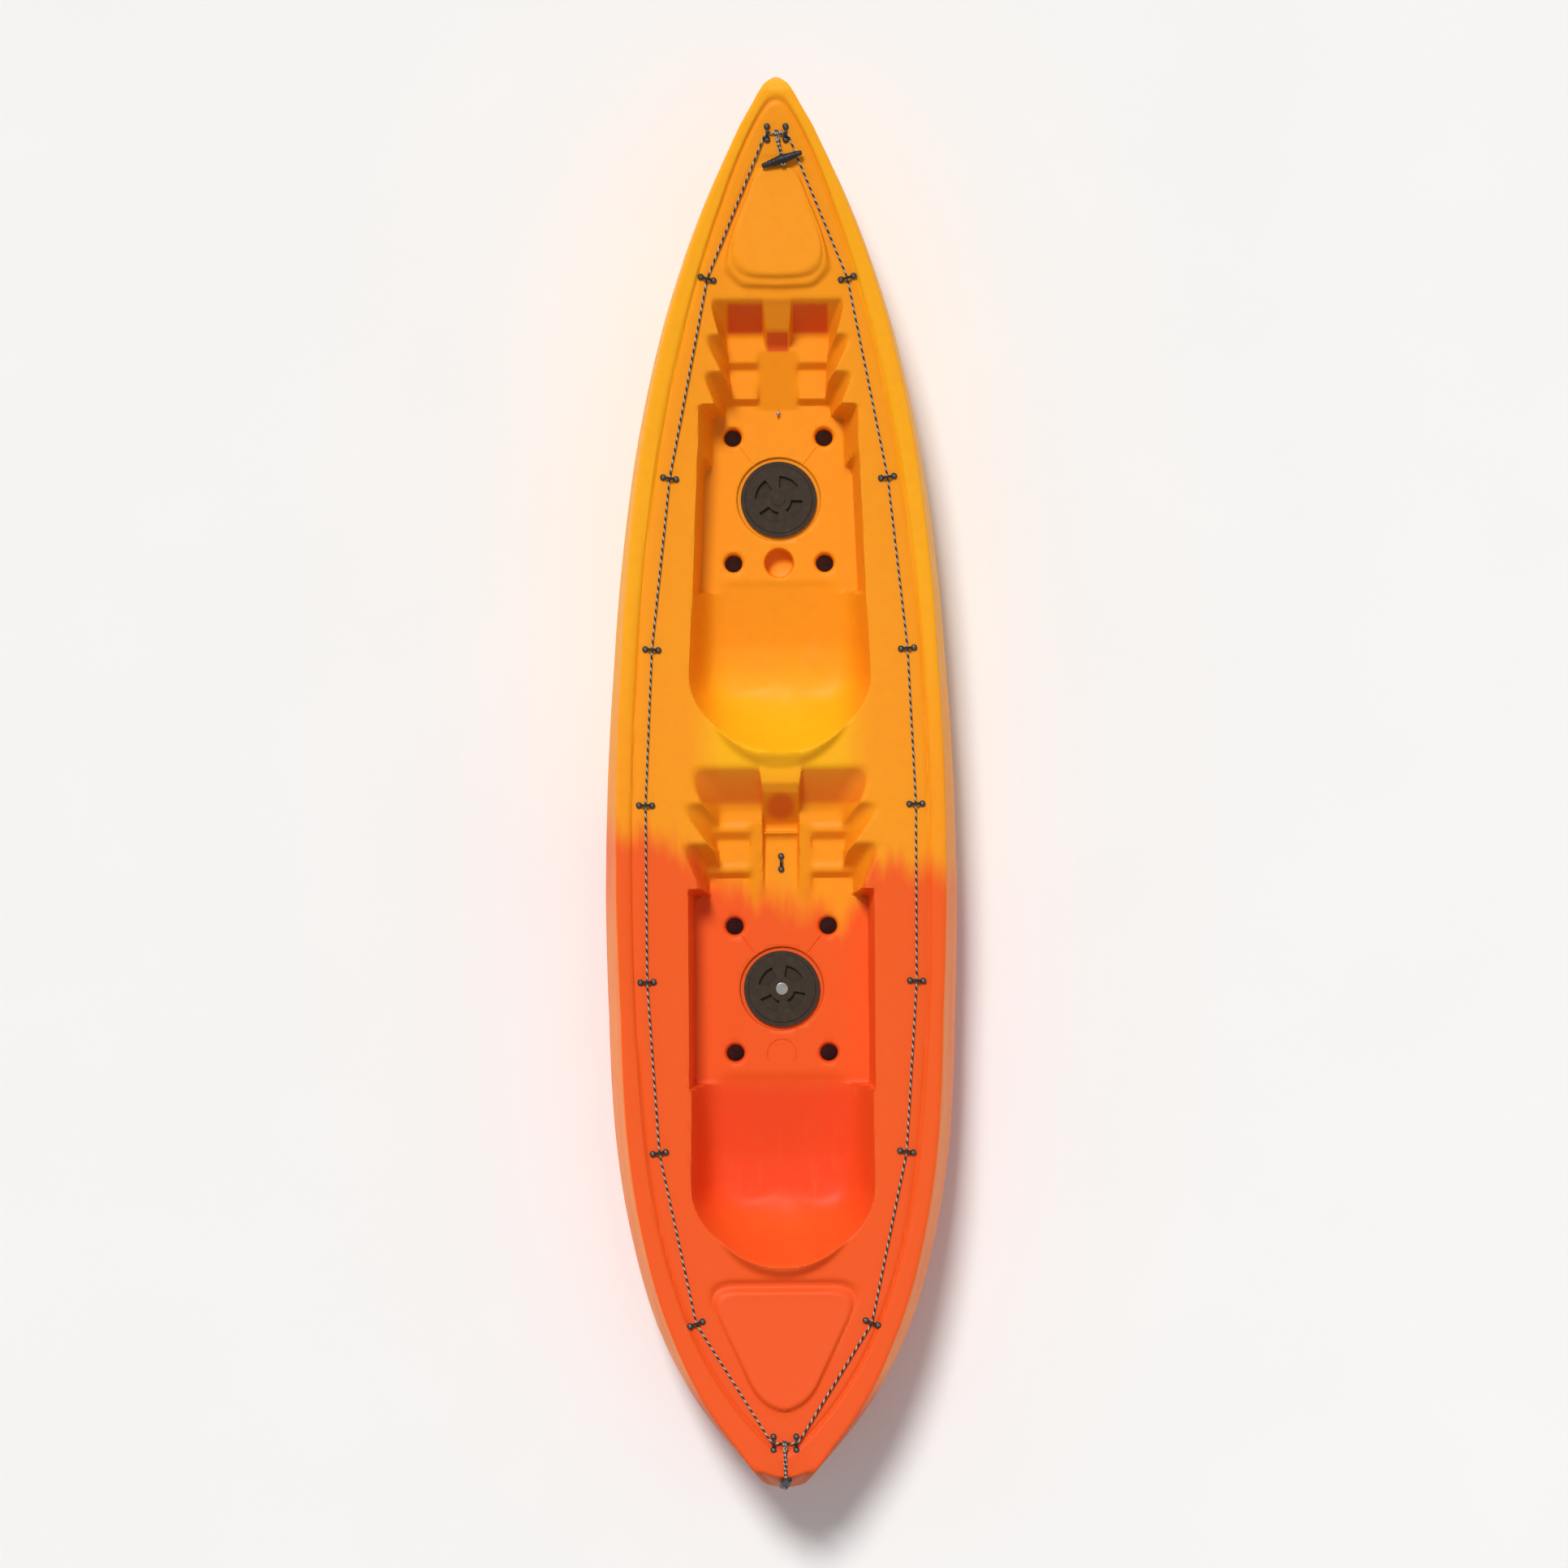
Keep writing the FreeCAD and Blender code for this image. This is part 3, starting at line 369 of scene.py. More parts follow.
def rear_recess(x, y, grow):
    """Rear cockpit: the same braces with a drain channel between the foot pads, then the floor."""
    high, low = REAR_PLATFORMS
    stepped = ramp(y, [(-0.100, high), (-0.113, high + 0.005), (-0.124, high + 0.003), (-0.146, low),
                       (-0.205, low), (-0.218, low + 0.004), (-0.228, low + 0.002), (-0.246, FLOOR)])
    sloped = ramp(y, [(-0.105, high), (-0.300, FLOOR)])
    floor = sloped + (stepped - sloped) * ease(0.075, 0.084, np.abs(x))
    floor = FLOOR + (floor - FLOOR) * ease(0.042, 0.049, np.abs(x))
    rib = buttress(x, y, [(0.060, 0.306), (0.004, 0.298), (-0.022, 0.276), (-0.102, 0.172), (-0.12, 0.1)],
                   [(0.060, 0.058), (-0.100, 0.034)], 9.0, grow)
    return soft_max(well(x, y, floor, REAR_BAYS, grow), rib, RIB_ROUND)


def seat(x, y, front, centre, stern, half_front, half_centre, grow):
    """Scooped seat: steep sides, a hollow pan and a back that sweeps up to the round rim."""
    depth = centre - stern + grow
    half = ramp(y, [(front, half_front), (centre, half_centre)]) + grow
    behind = np.maximum(centre - y, 0.0) / depth
    out = np.abs(x) / half
    reach = np.sqrt(behind ** 2 + out ** 2)
    sternward = np.where(reach > 1e-6, behind / np.maximum(reach, 1e-6), 0.0)
    power = 9.0 - 6.4 * ease(0.0, 1.0, sternward)
    low = SEAT_FLOOR
    pan = ramp(y, [(front + 0.012, FLOOR), (front - 0.012, FLOOR - 0.005), (centre + 0.07, low),
                   (centre, low), (stern, low + 0.010)])
    rise = deck_z(stern) + LIP_HEIGHT - pan
    bowl = pan - grow + rise * reach ** power
    front_wall = FLOOR + (y - front - grow) * 9.0
    return soft_max(bowl, front_wall, 0.01)


def rounded_plate(x, y, edges):
    """Signed distance outside a convex plate; edges are (point, outward normal, corner rounding)."""
    distance = None
    for (px, py), (nx, ny), corner in edges:
        length = math.hypot(nx, ny)
        d = ((np.abs(x) - px) * nx + (y - py) * ny) / length
        distance = d if distance is None else soft_max(distance, d, corner)
    return distance


def rim_distance(x, y):
    """Distance in from the outline of the hull, rounded at the tips."""
    step = 0.002
    slope = (half_beam_line(y + step) - half_beam_line(y - step)) / (2 * step)
    side = (half_beam_line(y) - np.sqrt(x ** 2 + APEX_ROUND ** 2)) / np.sqrt(1.0 + slope ** 2)
    tip = HALF - np.abs(y)
    return soft_min(side, tip, 0.05)


def deck_surface(x, y, grow=0.0):
    """Height of the deck with all that is raised from it or sunk into it."""
    z = top_z(y - 5.0 * x ** 2 * ease(-1.71, -1.80, y))
    fade = 1.0 - ease(1.70, 1.80, np.abs(y))
    inboard = rim_distance(x, y)
    line = ramp(y, RIM_LINE)
    z = z + 0.0045 * (1.0 - ease(line - 0.009, line, inboard)) * (0.4 + 0.6 * fade)
    z = z - 0.0042 * np.exp(-((inboard - line - 0.0015) / 0.0042) ** 2)

    bow_plate = rounded_plate(x, y, BOW_PLATE)
    plate_top = float(deck_z(1.280)) + 0.034
    lean = 1.5 + 2.9 * ease(1.33, 1.42, y)
    step_out = 0.006 + 0.008 * (1.0 - ease(1.33, 1.42, y)) * (1.0 - ease(0.080, 0.125, np.abs(x)))
    ledge = soft_min(deck_z(y) + 0.017 + 0 * x, plate_top - (bow_plate - step_out) * lean, 0.005)
    plate = soft_max(plate_top - np.maximum(bow_plate, -0.5) * lean, ledge, 0.003)
    plate = soft_min(plate, plate_top + 0 * x, 0.008)
    z = soft_max(z, plate, 0.005)
    z = z - 0.0018 * np.exp(-((bow_plate - 0.026) / 0.003) ** 2) * ease(1.34, 1.40, y)

    stern_pad = rounded_plate(x, y, STERN_PAD)
    basin = rounded_plate(x, y, STERN_BASIN)
    basin_depth = 0.009 * ease(-1.52, -1.36, y)
    z = z - basin_depth * (1.0 - ease(-0.012, 0.0, basin))
    pad_top = deck_z(y) + ramp(y, [(-1.34, 0.003), (-1.60, 0.014)])
    pad = soft_min(pad_top, pad_top - stern_pad * ramp(y, [(-1.34, 1.3), (-1.55, 1.9)]), 0.005)
    z = soft_max(z, pad, 0.006)

    for centre_y, edge_y in SEAT_LIPS:
        radius = centre_y - edge_y
        d = radius - np.sqrt(x ** 2 + (y - centre_y) ** 2)
        base = float(deck_z(edge_y))
        lip = soft_min(base + LIP_HEIGHT + 0 * x, base + d * LIP_SLOPE, 0.008)
        z = soft_max(z, lip, 0.006)

    sunk = np.minimum(front_recess(x, y, grow), rear_recess(x, y, grow))
    for places in SEATS:
        sunk = soft_min(sunk, seat(x, y, *places, grow), 0.006)
    return soft_min(z, sunk, 0.007)


# ---- mesh of the hull

def lines_by_density(density_at, density, count):
    """Places along a line, closer together where the density is greater."""
    total = np.concatenate([[0.0], np.cumsum((density[1:] + density[:-1]) * 0.5 * np.diff(density_at))])
    return np.interp(np.linspace(0.0, total[-1], count), total, density_at)


def edge_width(y, half):
    """How far the deck's edge stands in from the widest part of the side."""
    return np.minimum(ramp(y, EDGE_LINE), 0.42 * half)


def side_points(y, count):
    """Starboard side at one station, (x, z) from the deck's edge down to the flat of the bottom."""
    half = max(float(half_beam(np.array(y))) + float(ramp(y, TRIM)), 0.0015)
    keel = float(bottom_z(np.array(y)))
    full = 1.0 - (abs(y) / HALF) ** 3
    edge = float(edge_width(y, half))
    turn = min(0.014, 0.3 * half)
    crest = float(deck_surface(np.array([half - edge - turn]), np.array([y]))[0])
    height = min(float(top_z(np.array(y))), crest) - keel
    control = np.array([
        (half - edge - turn, crest), (half - edge - 0.35 * turn, crest + 0.0005),
        (half - edge + 0.25 * turn, crest - 0.001), (half - edge + 0.55 * turn, crest - 0.45 * turn),
        (half - 0.52 * edge, keel + 0.86 * height - 0.010 * full),
        (half + 0.002 * full, keel + 0.62 * height),
        (half * 1.004, keel + 0.42 * height), ((0.86 + 0.12 * full) * half, keel + 0.20 * height),
        ((0.58 + 0.32 * full) * half, keel + 0.050 * height),
        ((0.30 + 0.44 * full) * half, keel - 0.001 * full), ((0.12 + 0.50 * full) * half, keel),
    ])
    share = np.concatenate([np.linspace(0, 0.30, count // 2, endpoint=False),
                            np.linspace(0.30, 1.0, count - count // 2)])
    return b_spline(control, share)


def b_spline(control, share):
    """Points on a clamped cubic spline at shares of its length of knots."""
    n = len(control)
    knots = np.concatenate([[0.0] * 3, np.linspace(0.0, 1.0, n - 2), [1.0] * 3])
    basis = np.zeros((len(share), n + 3))
    u = np.minimum(share, 1.0 - 1e-9)
    for i in range(n + 3):
        basis[:, i] = (u >= knots[i]) & (u < knots[i + 1]) if i + 1 < len(knots) else 0.0
    for degree in range(1, 4):
        for i in range(n + 3 - degree):
            left = knots[i + degree] - knots[i]
            right = knots[i + degree + 1] - knots[i + 1]
            a = (u - knots[i]) / left * basis[:, i] if left > 0 else 0.0
            b = (knots[i + degree + 1] - u) / right * basis[:, i + 1] if right > 0 else 0.0
            basis[:, i] = a + b
    return basis[:, :n] @ control


def bottom_surface(x, y):
    """Height of the hull's underside, with its two round channels."""
    z = bottom_z(y)
    past = np.maximum(np.abs(y) - TUNNEL["end"], 0.0)
    off = np.sqrt((np.abs(x) - TUNNEL["x"]) ** 2 + past ** 2)
    groove = TUNNEL["z"] + np.sqrt(np.maximum(TUNNEL["r"] ** 2 - off ** 2, 0.0))
    return np.where(off < TUNNEL["r"], soft_max(z, groove, 0.006), z)


def station_ring(y, deck, side, bottom):
    """Points round the hull at one station: deck, starboard side, bottom and the side mirrored."""
    ring = [*deck, *side, *bottom] + [(-x, z) for x, z in side[::-1]]
    return [(x, y, z) for x, z in ring]


def hull_mesh(rows, deck_columns, side_columns, bottom_columns):
    """Closed skin of the hull: rows run round it, from the stern to the bow."""
    fine_y = np.linspace(-HALF + 0.0004, HALF - 0.0004, 2400)
    fine_x = np.linspace(-0.5, 0.5, 801)
    grid_x, grid_y = np.meshgrid(fine_x, fine_y)
    inside = np.abs(grid_x) < half_beam(grid_y) - 0.02
    z = deck_surface(grid_x, grid_y)
    dy = np.abs(np.gradient(z, fine_y, axis=0)) * inside
    dx = np.abs(np.gradient(z, fine_x, axis=1)) * inside
    steep = np.minimum(dy, 6.0).sum(axis=1) / np.maximum(inside.sum(axis=1), 60)
    ends = 3.0 * np.exp(-(HALF - np.abs(fine_y)) / 0.03)
    density = 1.0 + 9.0 * steep + ends
    density = np.convolve(density, np.ones(7) / 7.0, mode="same")
    density[:4] = density[4]
    density[-4:] = density[-5]
    ys = lines_by_density(fine_y, density, rows)
    blur = np.exp(-np.linspace(-3, 3, 61) ** 2 / 2)
    blur /= blur.sum()
    steep_x = np.minimum(dx, 8.0)
    steep_x = np.apply_along_axis(lambda column: np.convolve(column, blur, mode="same"), 0, steep_x)

    points = []
    for y in ys:
        side = side_points(y, side_columns)
        reach = side[0, 0]
        at = int(np.clip(np.searchsorted(fine_y, y), 0, len(fine_y) - 1))
        low = np.abs(fine_x) <= reach
        spread = 1.0 + 1.6 * steep_x[at]
        xs = np.linspace(-reach, reach, 400)
        across = np.interp(xs, fine_x[low], spread[low]) if low.sum() > 3 else np.ones(400)
        deck_x = lines_by_density(xs, across, deck_columns)
        deck_x = 0.5 * (deck_x - deck_x[::-1])
        deck_zs = deck_surface(deck_x, np.full_like(deck_x, y))
        foot = side[-1, 0]
        bottom_x = np.linspace(foot, -foot, bottom_columns + 2)[1:-1]
        bottom_zs = bottom_surface(bottom_x, np.full_like(bottom_x, y))
        points.append(station_ring(y, zip(deck_x, deck_zs), side[1:], zip(bottom_x, bottom_zs)))
    return points


def closed_object(name, points):
    """Mesh object from rings of points, closed at both ends by a point in the middle."""
    around = len(points[0])
    vertices = [p for ring in points for p in ring]
    faces = []
    for r in range(len(points) - 1):
        a, b = r * around, (r + 1) * around
        for i in range(around):
            j = (i + 1) % around
            faces.append((a + i, a + j, b + j, b + i))
    for r, flip in ((0, True), (len(points) - 1, False)):
        centre = tuple(np.mean(points[r], axis=0))
        vertices.append(centre)
        middle = len(vertices) - 1
        for i in range(around):
            j = (i + 1) % around
            a, b = r * around + i, r * around + j
            faces.append((middle, b, a) if flip else (middle, a, b))
    mesh = bpy.data.meshes.new(name)
    mesh.from_pydata(vertices, [], faces)
    mesh.update()
    return placed(name, mesh)


def lathe(name, profile, centre, steps):
    """Closed solid of revolution about an upright axis; profile is (radius, z) from bottom to top."""
    rings = []
    for r, z in profile:
        ring = []
        for i in range(steps):
            a = 2 * math.pi * i / steps
            ring.append((centre[0] + r * math.cos(a), centre[1] + r * math.sin(a), z))
        rings.append(ring)
    return closed_object(name, rings)


def cut(target, cutters):
    """Take the cutters out of the target, then delete them."""
    for cutter in cutters:
        modifier = target.modifiers.new("cut", "BOOLEAN")
        modifier.operation = "DIFFERENCE"
        modifier.solver = "MANIFOLD"
        modifier.object = cutter
    graph = bpy.context.evaluated_depsgraph_get()
    mesh = bpy.data.meshes.new_from_object(target.evaluated_get(graph))
    target.modifiers.clear()
    old = target.data
    target.data = mesh
    bpy.data.meshes.remove(old)
    for cutter in cutters:
        bpy.data.objects.remove(cutter, do_unlink=True)


def smooth(obj, angle):
    """Smooth shading, sharp only where faces meet at more than the angle in degrees."""
    mesh = obj.data
    mesh.polygons.foreach_set("use_smooth", [True] * len(mesh.polygons))
    mesh.set_sharp_from_angle(angle=math.radians(angle))


def groove_cutter(path, radius):
    """Round bar along a path at floor height, which cuts a shallow groove."""
    points = np.array([(x, y, FLOOR - GROOVE_DEPTH + radius) for x, y in path])
    tangent = np.gradient(points, axis=0)
    tangent /= np.linalg.norm(tangent, axis=1)[:, None]
    side = np.stack([-tangent[:, 1], tangent[:, 0], tangent[:, 2]], axis=1)
    rings = []
    for i in range(len(points)):
        size = radius * (0.4 if i in (0, len(points) - 1) else 1.0)
        rings.append([tuple(points[i] + size * (side[i] * math.cos(q) + np.array((0, 0, 1)) * math.sin(q)))
                      for q in np.linspace(0, 2 * math.pi, 14, endpoint=False)])
    return closed_object("groove", rings)


def drain_grooves():
    """Shallow grooves from the two forward drain tubes of each cockpit to its hatch."""
    made = []
    for hatch_y, (tube_y, tube_x) in zip(HATCHES_Y, DRAINS[::2]):
        for side in (-1, 1):
            tube = np.array((side * tube_x, tube_y))
            middle_of_hatch = np.array((0.0, hatch_y))
            way = middle_of_hatch - tube
            length = np.linalg.norm(way)
            made.append(groove_cutter([tube + way * (at / length) for at in
                                       np.linspace(0.030, length - 0.107, 8)], GROOVE_R))
    return made


def cup_ring_groove():
    """Thin round line moulded in the rear cockpit floor, open towards the stern."""
    turns = np.radians(np.linspace(-38.0, 218.0, 40))
    radius = CUP_RING["r"]
    return groove_cutter([(radius * math.cos(t), CUP_RING["y"] + radius * math.sin(t)) for t in turns],
                         CUP_RING["line"])


def cavity(grow):
    """The hollow inside the hull, as a solid: the same forms drawn in by the wall."""
    ys = np.linspace(-HALF + 0.05, HALF - 0.05, 240)
    points = []
    for y in ys:
        side = side_points(y, 12)
        reach = max(side[0, 0] - grow * 1.5, 0.004)
        xs = np.linspace(-reach, reach, 60)
        zs = deck_surface(xs, np.full_like(xs, y), grow) - grow
        floor = float(bottom_z(np.array(y))) + grow
        width = np.maximum(side[1:, 0] - grow, 0.003)
        height = np.clip(side[1:, 1], floor, None)
        height = np.minimum(height - grow * 0.5, zs[-1])
        foot = width[-1]
        under = np.linspace(foot, -foot, 18)[1:-1]
        under_z = np.maximum(bottom_surface(under, np.full_like(under, y)) + grow, floor)
        height = np.maximum(height, floor)
        zs = np.maximum(zs, floor + 0.02)
        points.append(station_ring(y, zip(xs, zs), list(zip(width, height)), zip(under, under_z)))
    return closed_object("hollow", points)


# ---- materials

class Nodes:
    """Short way to build a material's node tree."""

    def __init__(self, name):
        self.material = bpy.data.materials.new(name)
        self.material.use_nodes = True
        self.tree = self.material.node_tree
        self.shader = self.tree.nodes["Principled BSDF"]

    def add(self, kind, **values):
        node = self.tree.nodes.new(kind)
        for key, value in values.items():
            if key in node.inputs:
                node.inputs[key].default_value = value
            else:
                setattr(node, key, value)
        return node

    def link(self, a, b):
        self.tree.links.new(a, b)

    def math(self, operation, a, b=None, clamp=False):
        node = self.add("ShaderNodeMath", operation=operation, use_clamp=clamp)
        for socket, value in zip(node.inputs, (a, b)):
            if value is None:
                continue
            if isinstance(value, (int, float)):
                socket.default_value = value
            else:
                self.link(value, socket)
        return node.outputs[0]

    def drive(self, socket, value):
        self.link(value, self.shader.inputs[socket])

    def times(self, a, b):
        return self.math("MULTIPLY", a, b)

    def plus(self, a, b, clamp=False):
        return self.math("ADD", a, b, clamp)

    def noise(self, scale, detail=2.0, vector=None, rough=0.5, stretch=None):
        node = self.add("ShaderNodeTexNoise", Scale=scale, Detail=detail, Roughness=rough)
        at = vector or self.add("ShaderNodeTexCoord").outputs["Object"]
        if stretch:
            mapping = self.add("ShaderNodeMapping")
            mapping.inputs["Scale"].default_value = stretch
            self.link(at, mapping.inputs["Vector"])
            at = mapping.outputs[0]
        self.link(at, node.inputs["Vector"])
        return node.outputs["Fac"]

    def between(self, value, low, high):
        node = self.add("ShaderNodeMapRange", clamp=True, interpolation_type="SMOOTHSTEP")
        node.inputs["From Min"].default_value = low
        node.inputs["From Max"].default_value = high
        self.link(value, node.inputs["Value"])
        return node.outputs[0]

    def mix(self, share, a, b, blend="MIX"):
        node = self.add("ShaderNodeMix", data_type="RGBA", blend_type=blend)
        for socket, value in ((node.inputs[0], share), (node.inputs[6], a), (node.inputs[7], b)):
            if isinstance(value, (int, float)):
                socket.default_value = value
            elif isinstance(value, tuple):
                socket.default_value = value if len(value) == 4 else (*value, 1.0)
            else:
                self.link(value, socket)
        return node.outputs[2]

    def bump(self, height, strength, distance):
        node = self.add("ShaderNodeBump", Strength=strength, Distance=distance)
        self.link(height, node.inputs["Height"])
        self.link(node.outputs[0], self.shader.inputs["Normal"])


def outline_distance(n, x, y):
    """Distance in from the hull's outline, from a curve of the half beam along the hull."""
    full_scale = 0.5
    curve = n.add("ShaderNodeFloatCurve")
    points = curve.mapping.curves[0].points
    stations = [((at + HALF) / (2 * HALF), wide / full_scale) for at, wide in OUTLINE]
    points[0].location, points[1].location = stations[0], stations[-1]
    for station in stations[1:-1]:
        points.new(*station)
    curve.mapping.update()
    share = n.math("DIVIDE", n.plus(y, HALF), 2 * HALF)
    n.link(share, curve.inputs["Value"])
    half = n.times(curve.outputs[0], full_scale)
    return n.math("SUBTRACT", half, n.math("ABSOLUTE", x))


def box_mask(n, x, y, wide, low, high, soft):
    """1 inside a stretch of the hull from low to high along it and wide each side of the middle."""
    across = n.between(n.math("ABSOLUTE", x), wide + soft, wide - soft)
    along = n.times(n.between(y, low - soft, low + soft), n.between(y, high + soft, high - soft))
    return n.times(across, along)


def hull_plastic():
    """Rotomoulded polyethylene: yellow-orange at the bow running into orange-red at the stern."""
    n = Nodes("hull_plastic")
    where = n.add("ShaderNodeTexCoord").outputs["Object"]
    split = n.add("ShaderNodeSeparateXYZ")
    n.link(where, split.inputs[0])
    x, y, z = split.outputs
    aside = n.math("ABSOLUTE", x)
    wander = n.noise(4.2, 3.0, where, 0.55, (1.0, 0.35, 1.0))
    streak = n.noise(22.0, 4.0, where, 0.6, (1.0, 0.16, 1.0))
    shift = n.plus(n.times(n.math("SUBTRACT", wander, 0.5), 0.22),
                   n.times(n.math("SUBTRACT", streak, 0.5), 0.16))
    inboard = n.times(n.between(aside, 0.25, 0.15), 0.145)
    starboard = n.times(x, 0.17)
    along = n.plus(n.plus(y, shift), n.plus(inboard, starboard))
    red = n.between(along, -0.115, -0.235)
    from_edge = outline_distance(n, x, y)
    from_line = n.plus(from_edge, n.times(n.between(y, 1.20, 1.75), 0.022))
    rim = n.math("MAXIMUM", n.between(from_line, 0.066, 0.052), n.between(y, 1.765, 1.785))
    rim = n.times(rim, n.between(y, -0.10, 0.60))
    yellow = n.mix(rim, (0.945, 0.318, 0.009), (0.965, 0.400, 0.008))
    # Painted highlight: the back of the front seat, which faces the light, is brightened towards yellow.
    lit_seat_back = n.times(box_mask(n, x, y, 0.190, 0.020, 0.600, 0.060), n.between(y, 0.400, 0.130))
    yellow = n.mix(n.times(lit_seat_back, 0.8), yellow, (0.975, 0.500, 0.006))
    deep = n.mix(n.between(y, -0.3, -1.6), (0.885, 0.106, 0.013), (0.878, 0.096, 0.014))
    deep = n.mix(box_mask(n, x, y, 0.205, -1.10, -0.78, 0.05), deep, (0.870, 0.066, 0.014))
    colour = n.mix(red, yellow, deep)
    # Painted shade: dark red patches on the stern-facing foot wall beside the front rib and on the rib's
    # foot, and a dark round spot on the rear rib that stands in for the shade in a small dish.
    beside = n.between(aside, 0.036, 0.043)
    foot_wall = n.times(box_mask(n, x, y, 0.130, 1.172, 1.246, 0.006), beside)
    shaded_panels = n.plus(foot_wall, box_mask(n, x, y, 0.027, 1.125, 1.172, 0.004))
    shaded_panels = n.times(shaded_panels, n.between(n.plus(z, n.times(streak, 0.03)), 0.350, 0.322))
    dish = n.math("SQRT", n.plus(n.math("POWER", x, 2.0), n.math("POWER", n.plus(y, 0.058), 2.0)))
    painted_wall_shade = n.plus(n.times(shaded_panels, 0.85), n.times(n.between(dish, 0.046, 0.024), 0.65),
                     True)
    colour = n.mix(painted_wall_shade, colour, (0.760, 0.075, 0.014))
    # Painted shade: the rear cockpit's front wall is turned a darker red, because it faces the stern, away
    # from the light.
    bulkhead_shade = n.times(box_mask(n, x, y, 0.240, -0.050, 0.050, 0.008), n.between(z, 0.297, 0.288))
    bulkhead_shade = n.times(bulkhead_shade, n.between(aside, 0.040, 0.052))
    colour = n.mix(n.times(bulkhead_shade, 0.38), colour, (0.760, 0.075, 0.020))
    speck = n.noise(900.0, 2.0, where)
    colour = n.mix(n.times(n.between(speck, 0.62, 0.75), 0.10), colour, (1.0, 0.62, 0.20))
    mottle = n.noise(34.0, 3.0, where)
    colour = n.mix(n.times(n.between(mottle, 0.40, 0.72), 0.07), colour, (0.70, 0.16, 0.02))
    scuff = n.noise(55.0, 5.0, where, 0.65, (1.0, 0.12, 1.0))
    rubbed = n.times(n.between(scuff, 0.66, 0.76), 0.16)
    low = n.between(z, 0.16, 0.02)
    colour = n.mix(n.times(n.plus(rubbed, n.times(low, n.between(scuff, 0.5, 0.7))), 0.45),
                   colour, (0.95, 0.55, 0.30))
    # Painted sheen: a pale band on the steep sides near the outline over the stern half stands in for the
    # reflection along the flanks, with streaky variation.
    upright = n.add("ShaderNodeSeparateXYZ")
    n.link(n.add("ShaderNodeNewGeometry").outputs["True Normal"], upright.inputs[0])
    steep = n.between(n.math("ABSOLUTE", upright.outputs[2]), 0.88, 0.66)
    flank_sheen = n.times(n.times(steep, n.between(from_edge, 0.046, 0.034)), n.between(y, 0.10, -0.45))
    flank_sheen = n.times(flank_sheen, n.between(n.plus(z, n.times(streak, 0.04)), 0.10, 0.24))
    patchy = n.between(n.noise(10.0, 4.0, where, 0.6, (1.0, 0.20, 3.0)), 0.30, 0.70)
    flank_sheen = n.times(flank_sheen, n.plus(0.66, n.times(patchy, 0.34)))
    flank_sheen = n.times(flank_sheen, n.between(y, -1.66, -1.50))
    colour = n.mix(flank_sheen, colour, (0.955, 0.290, 0.068))
    # Painted shade: the steep sides round the stern tip are darkened.
    tip = n.math("MAXIMUM", n.between(from_edge, 0.046, 0.034), n.between(y, -1.770, -1.788))
    tip = n.times(n.times(steep, tip), n.between(y, -1.52, -1.70))
    colour = n.mix(n.times(tip, 0.70), colour, (0.480, 0.095, 0.008))
    n.drive("Base Color", colour)
    rough = n.plus(0.38, n.times(n.noise(26.0, 4.0, where), 0.14))
    n.drive("Roughness", n.plus(rough, rubbed))
    n.shader.inputs["Specular IOR Level"].default_value = 0.16
    pebble = n.plus(n.times(n.noise(1400.0, 2.0, where), 0.35), n.noise(210.0, 3.0, where))
    n.bump(n.plus(pebble, n.times(n.noise(9.0, 2.0, where), 1.6)), 0.20, 0.0009)
    return n.material


def moulded(name, colour, patchy, rough, grain=700.0):
    """Moulded fitting plastic with a fine grain and slightly rubbed patches."""
    n = Nodes(name)
    patch = n.noise(60.0, 4.0)
    n.drive("Base Color", n.mix(n.between(patch, 0.45, 0.75), colour, patchy))
    n.drive("Roughness", n.plus(rough, n.times(n.noise(120.0, 3.0), 0.18)))
    n.shader.inputs["Specular IOR Level"].default_value = 0.25
    n.bump(n.noise(grain, 2.0), 0.25, 0.0004)
    return n.material


def steel(name, dull, bright):
    """Satin steel with fine turning marks."""
    n = Nodes(name)
    marks = n.noise(900.0, 2.0, None, 0.5, (1.0, 0.1, 1.0))
    n.drive("Base Color", n.mix(marks, dull, bright))
    n.shader.inputs["Metallic"].default_value = 1.0
    n.drive("Roughness", n.plus(0.20, n.times(marks, 0.15)))
    n.bump(marks, 0.15, 0.0002)
    return n.material


def rubber():
    """Dull black rubber, dusty in places."""
    n = Nodes("seal_rubber")
    dust = n.noise(140.0, 4.0)
    n.drive("Base Color", n.mix(n.between(dust, 0.5, 0.8), (0.016, 0.016, 0.016), (0.06, 0.058, 0.055)))
    n.drive("Roughness", n.plus(0.62, n.times(dust, 0.2)))
    n.bump(dust, 0.2, 0.0003)
    return n.material


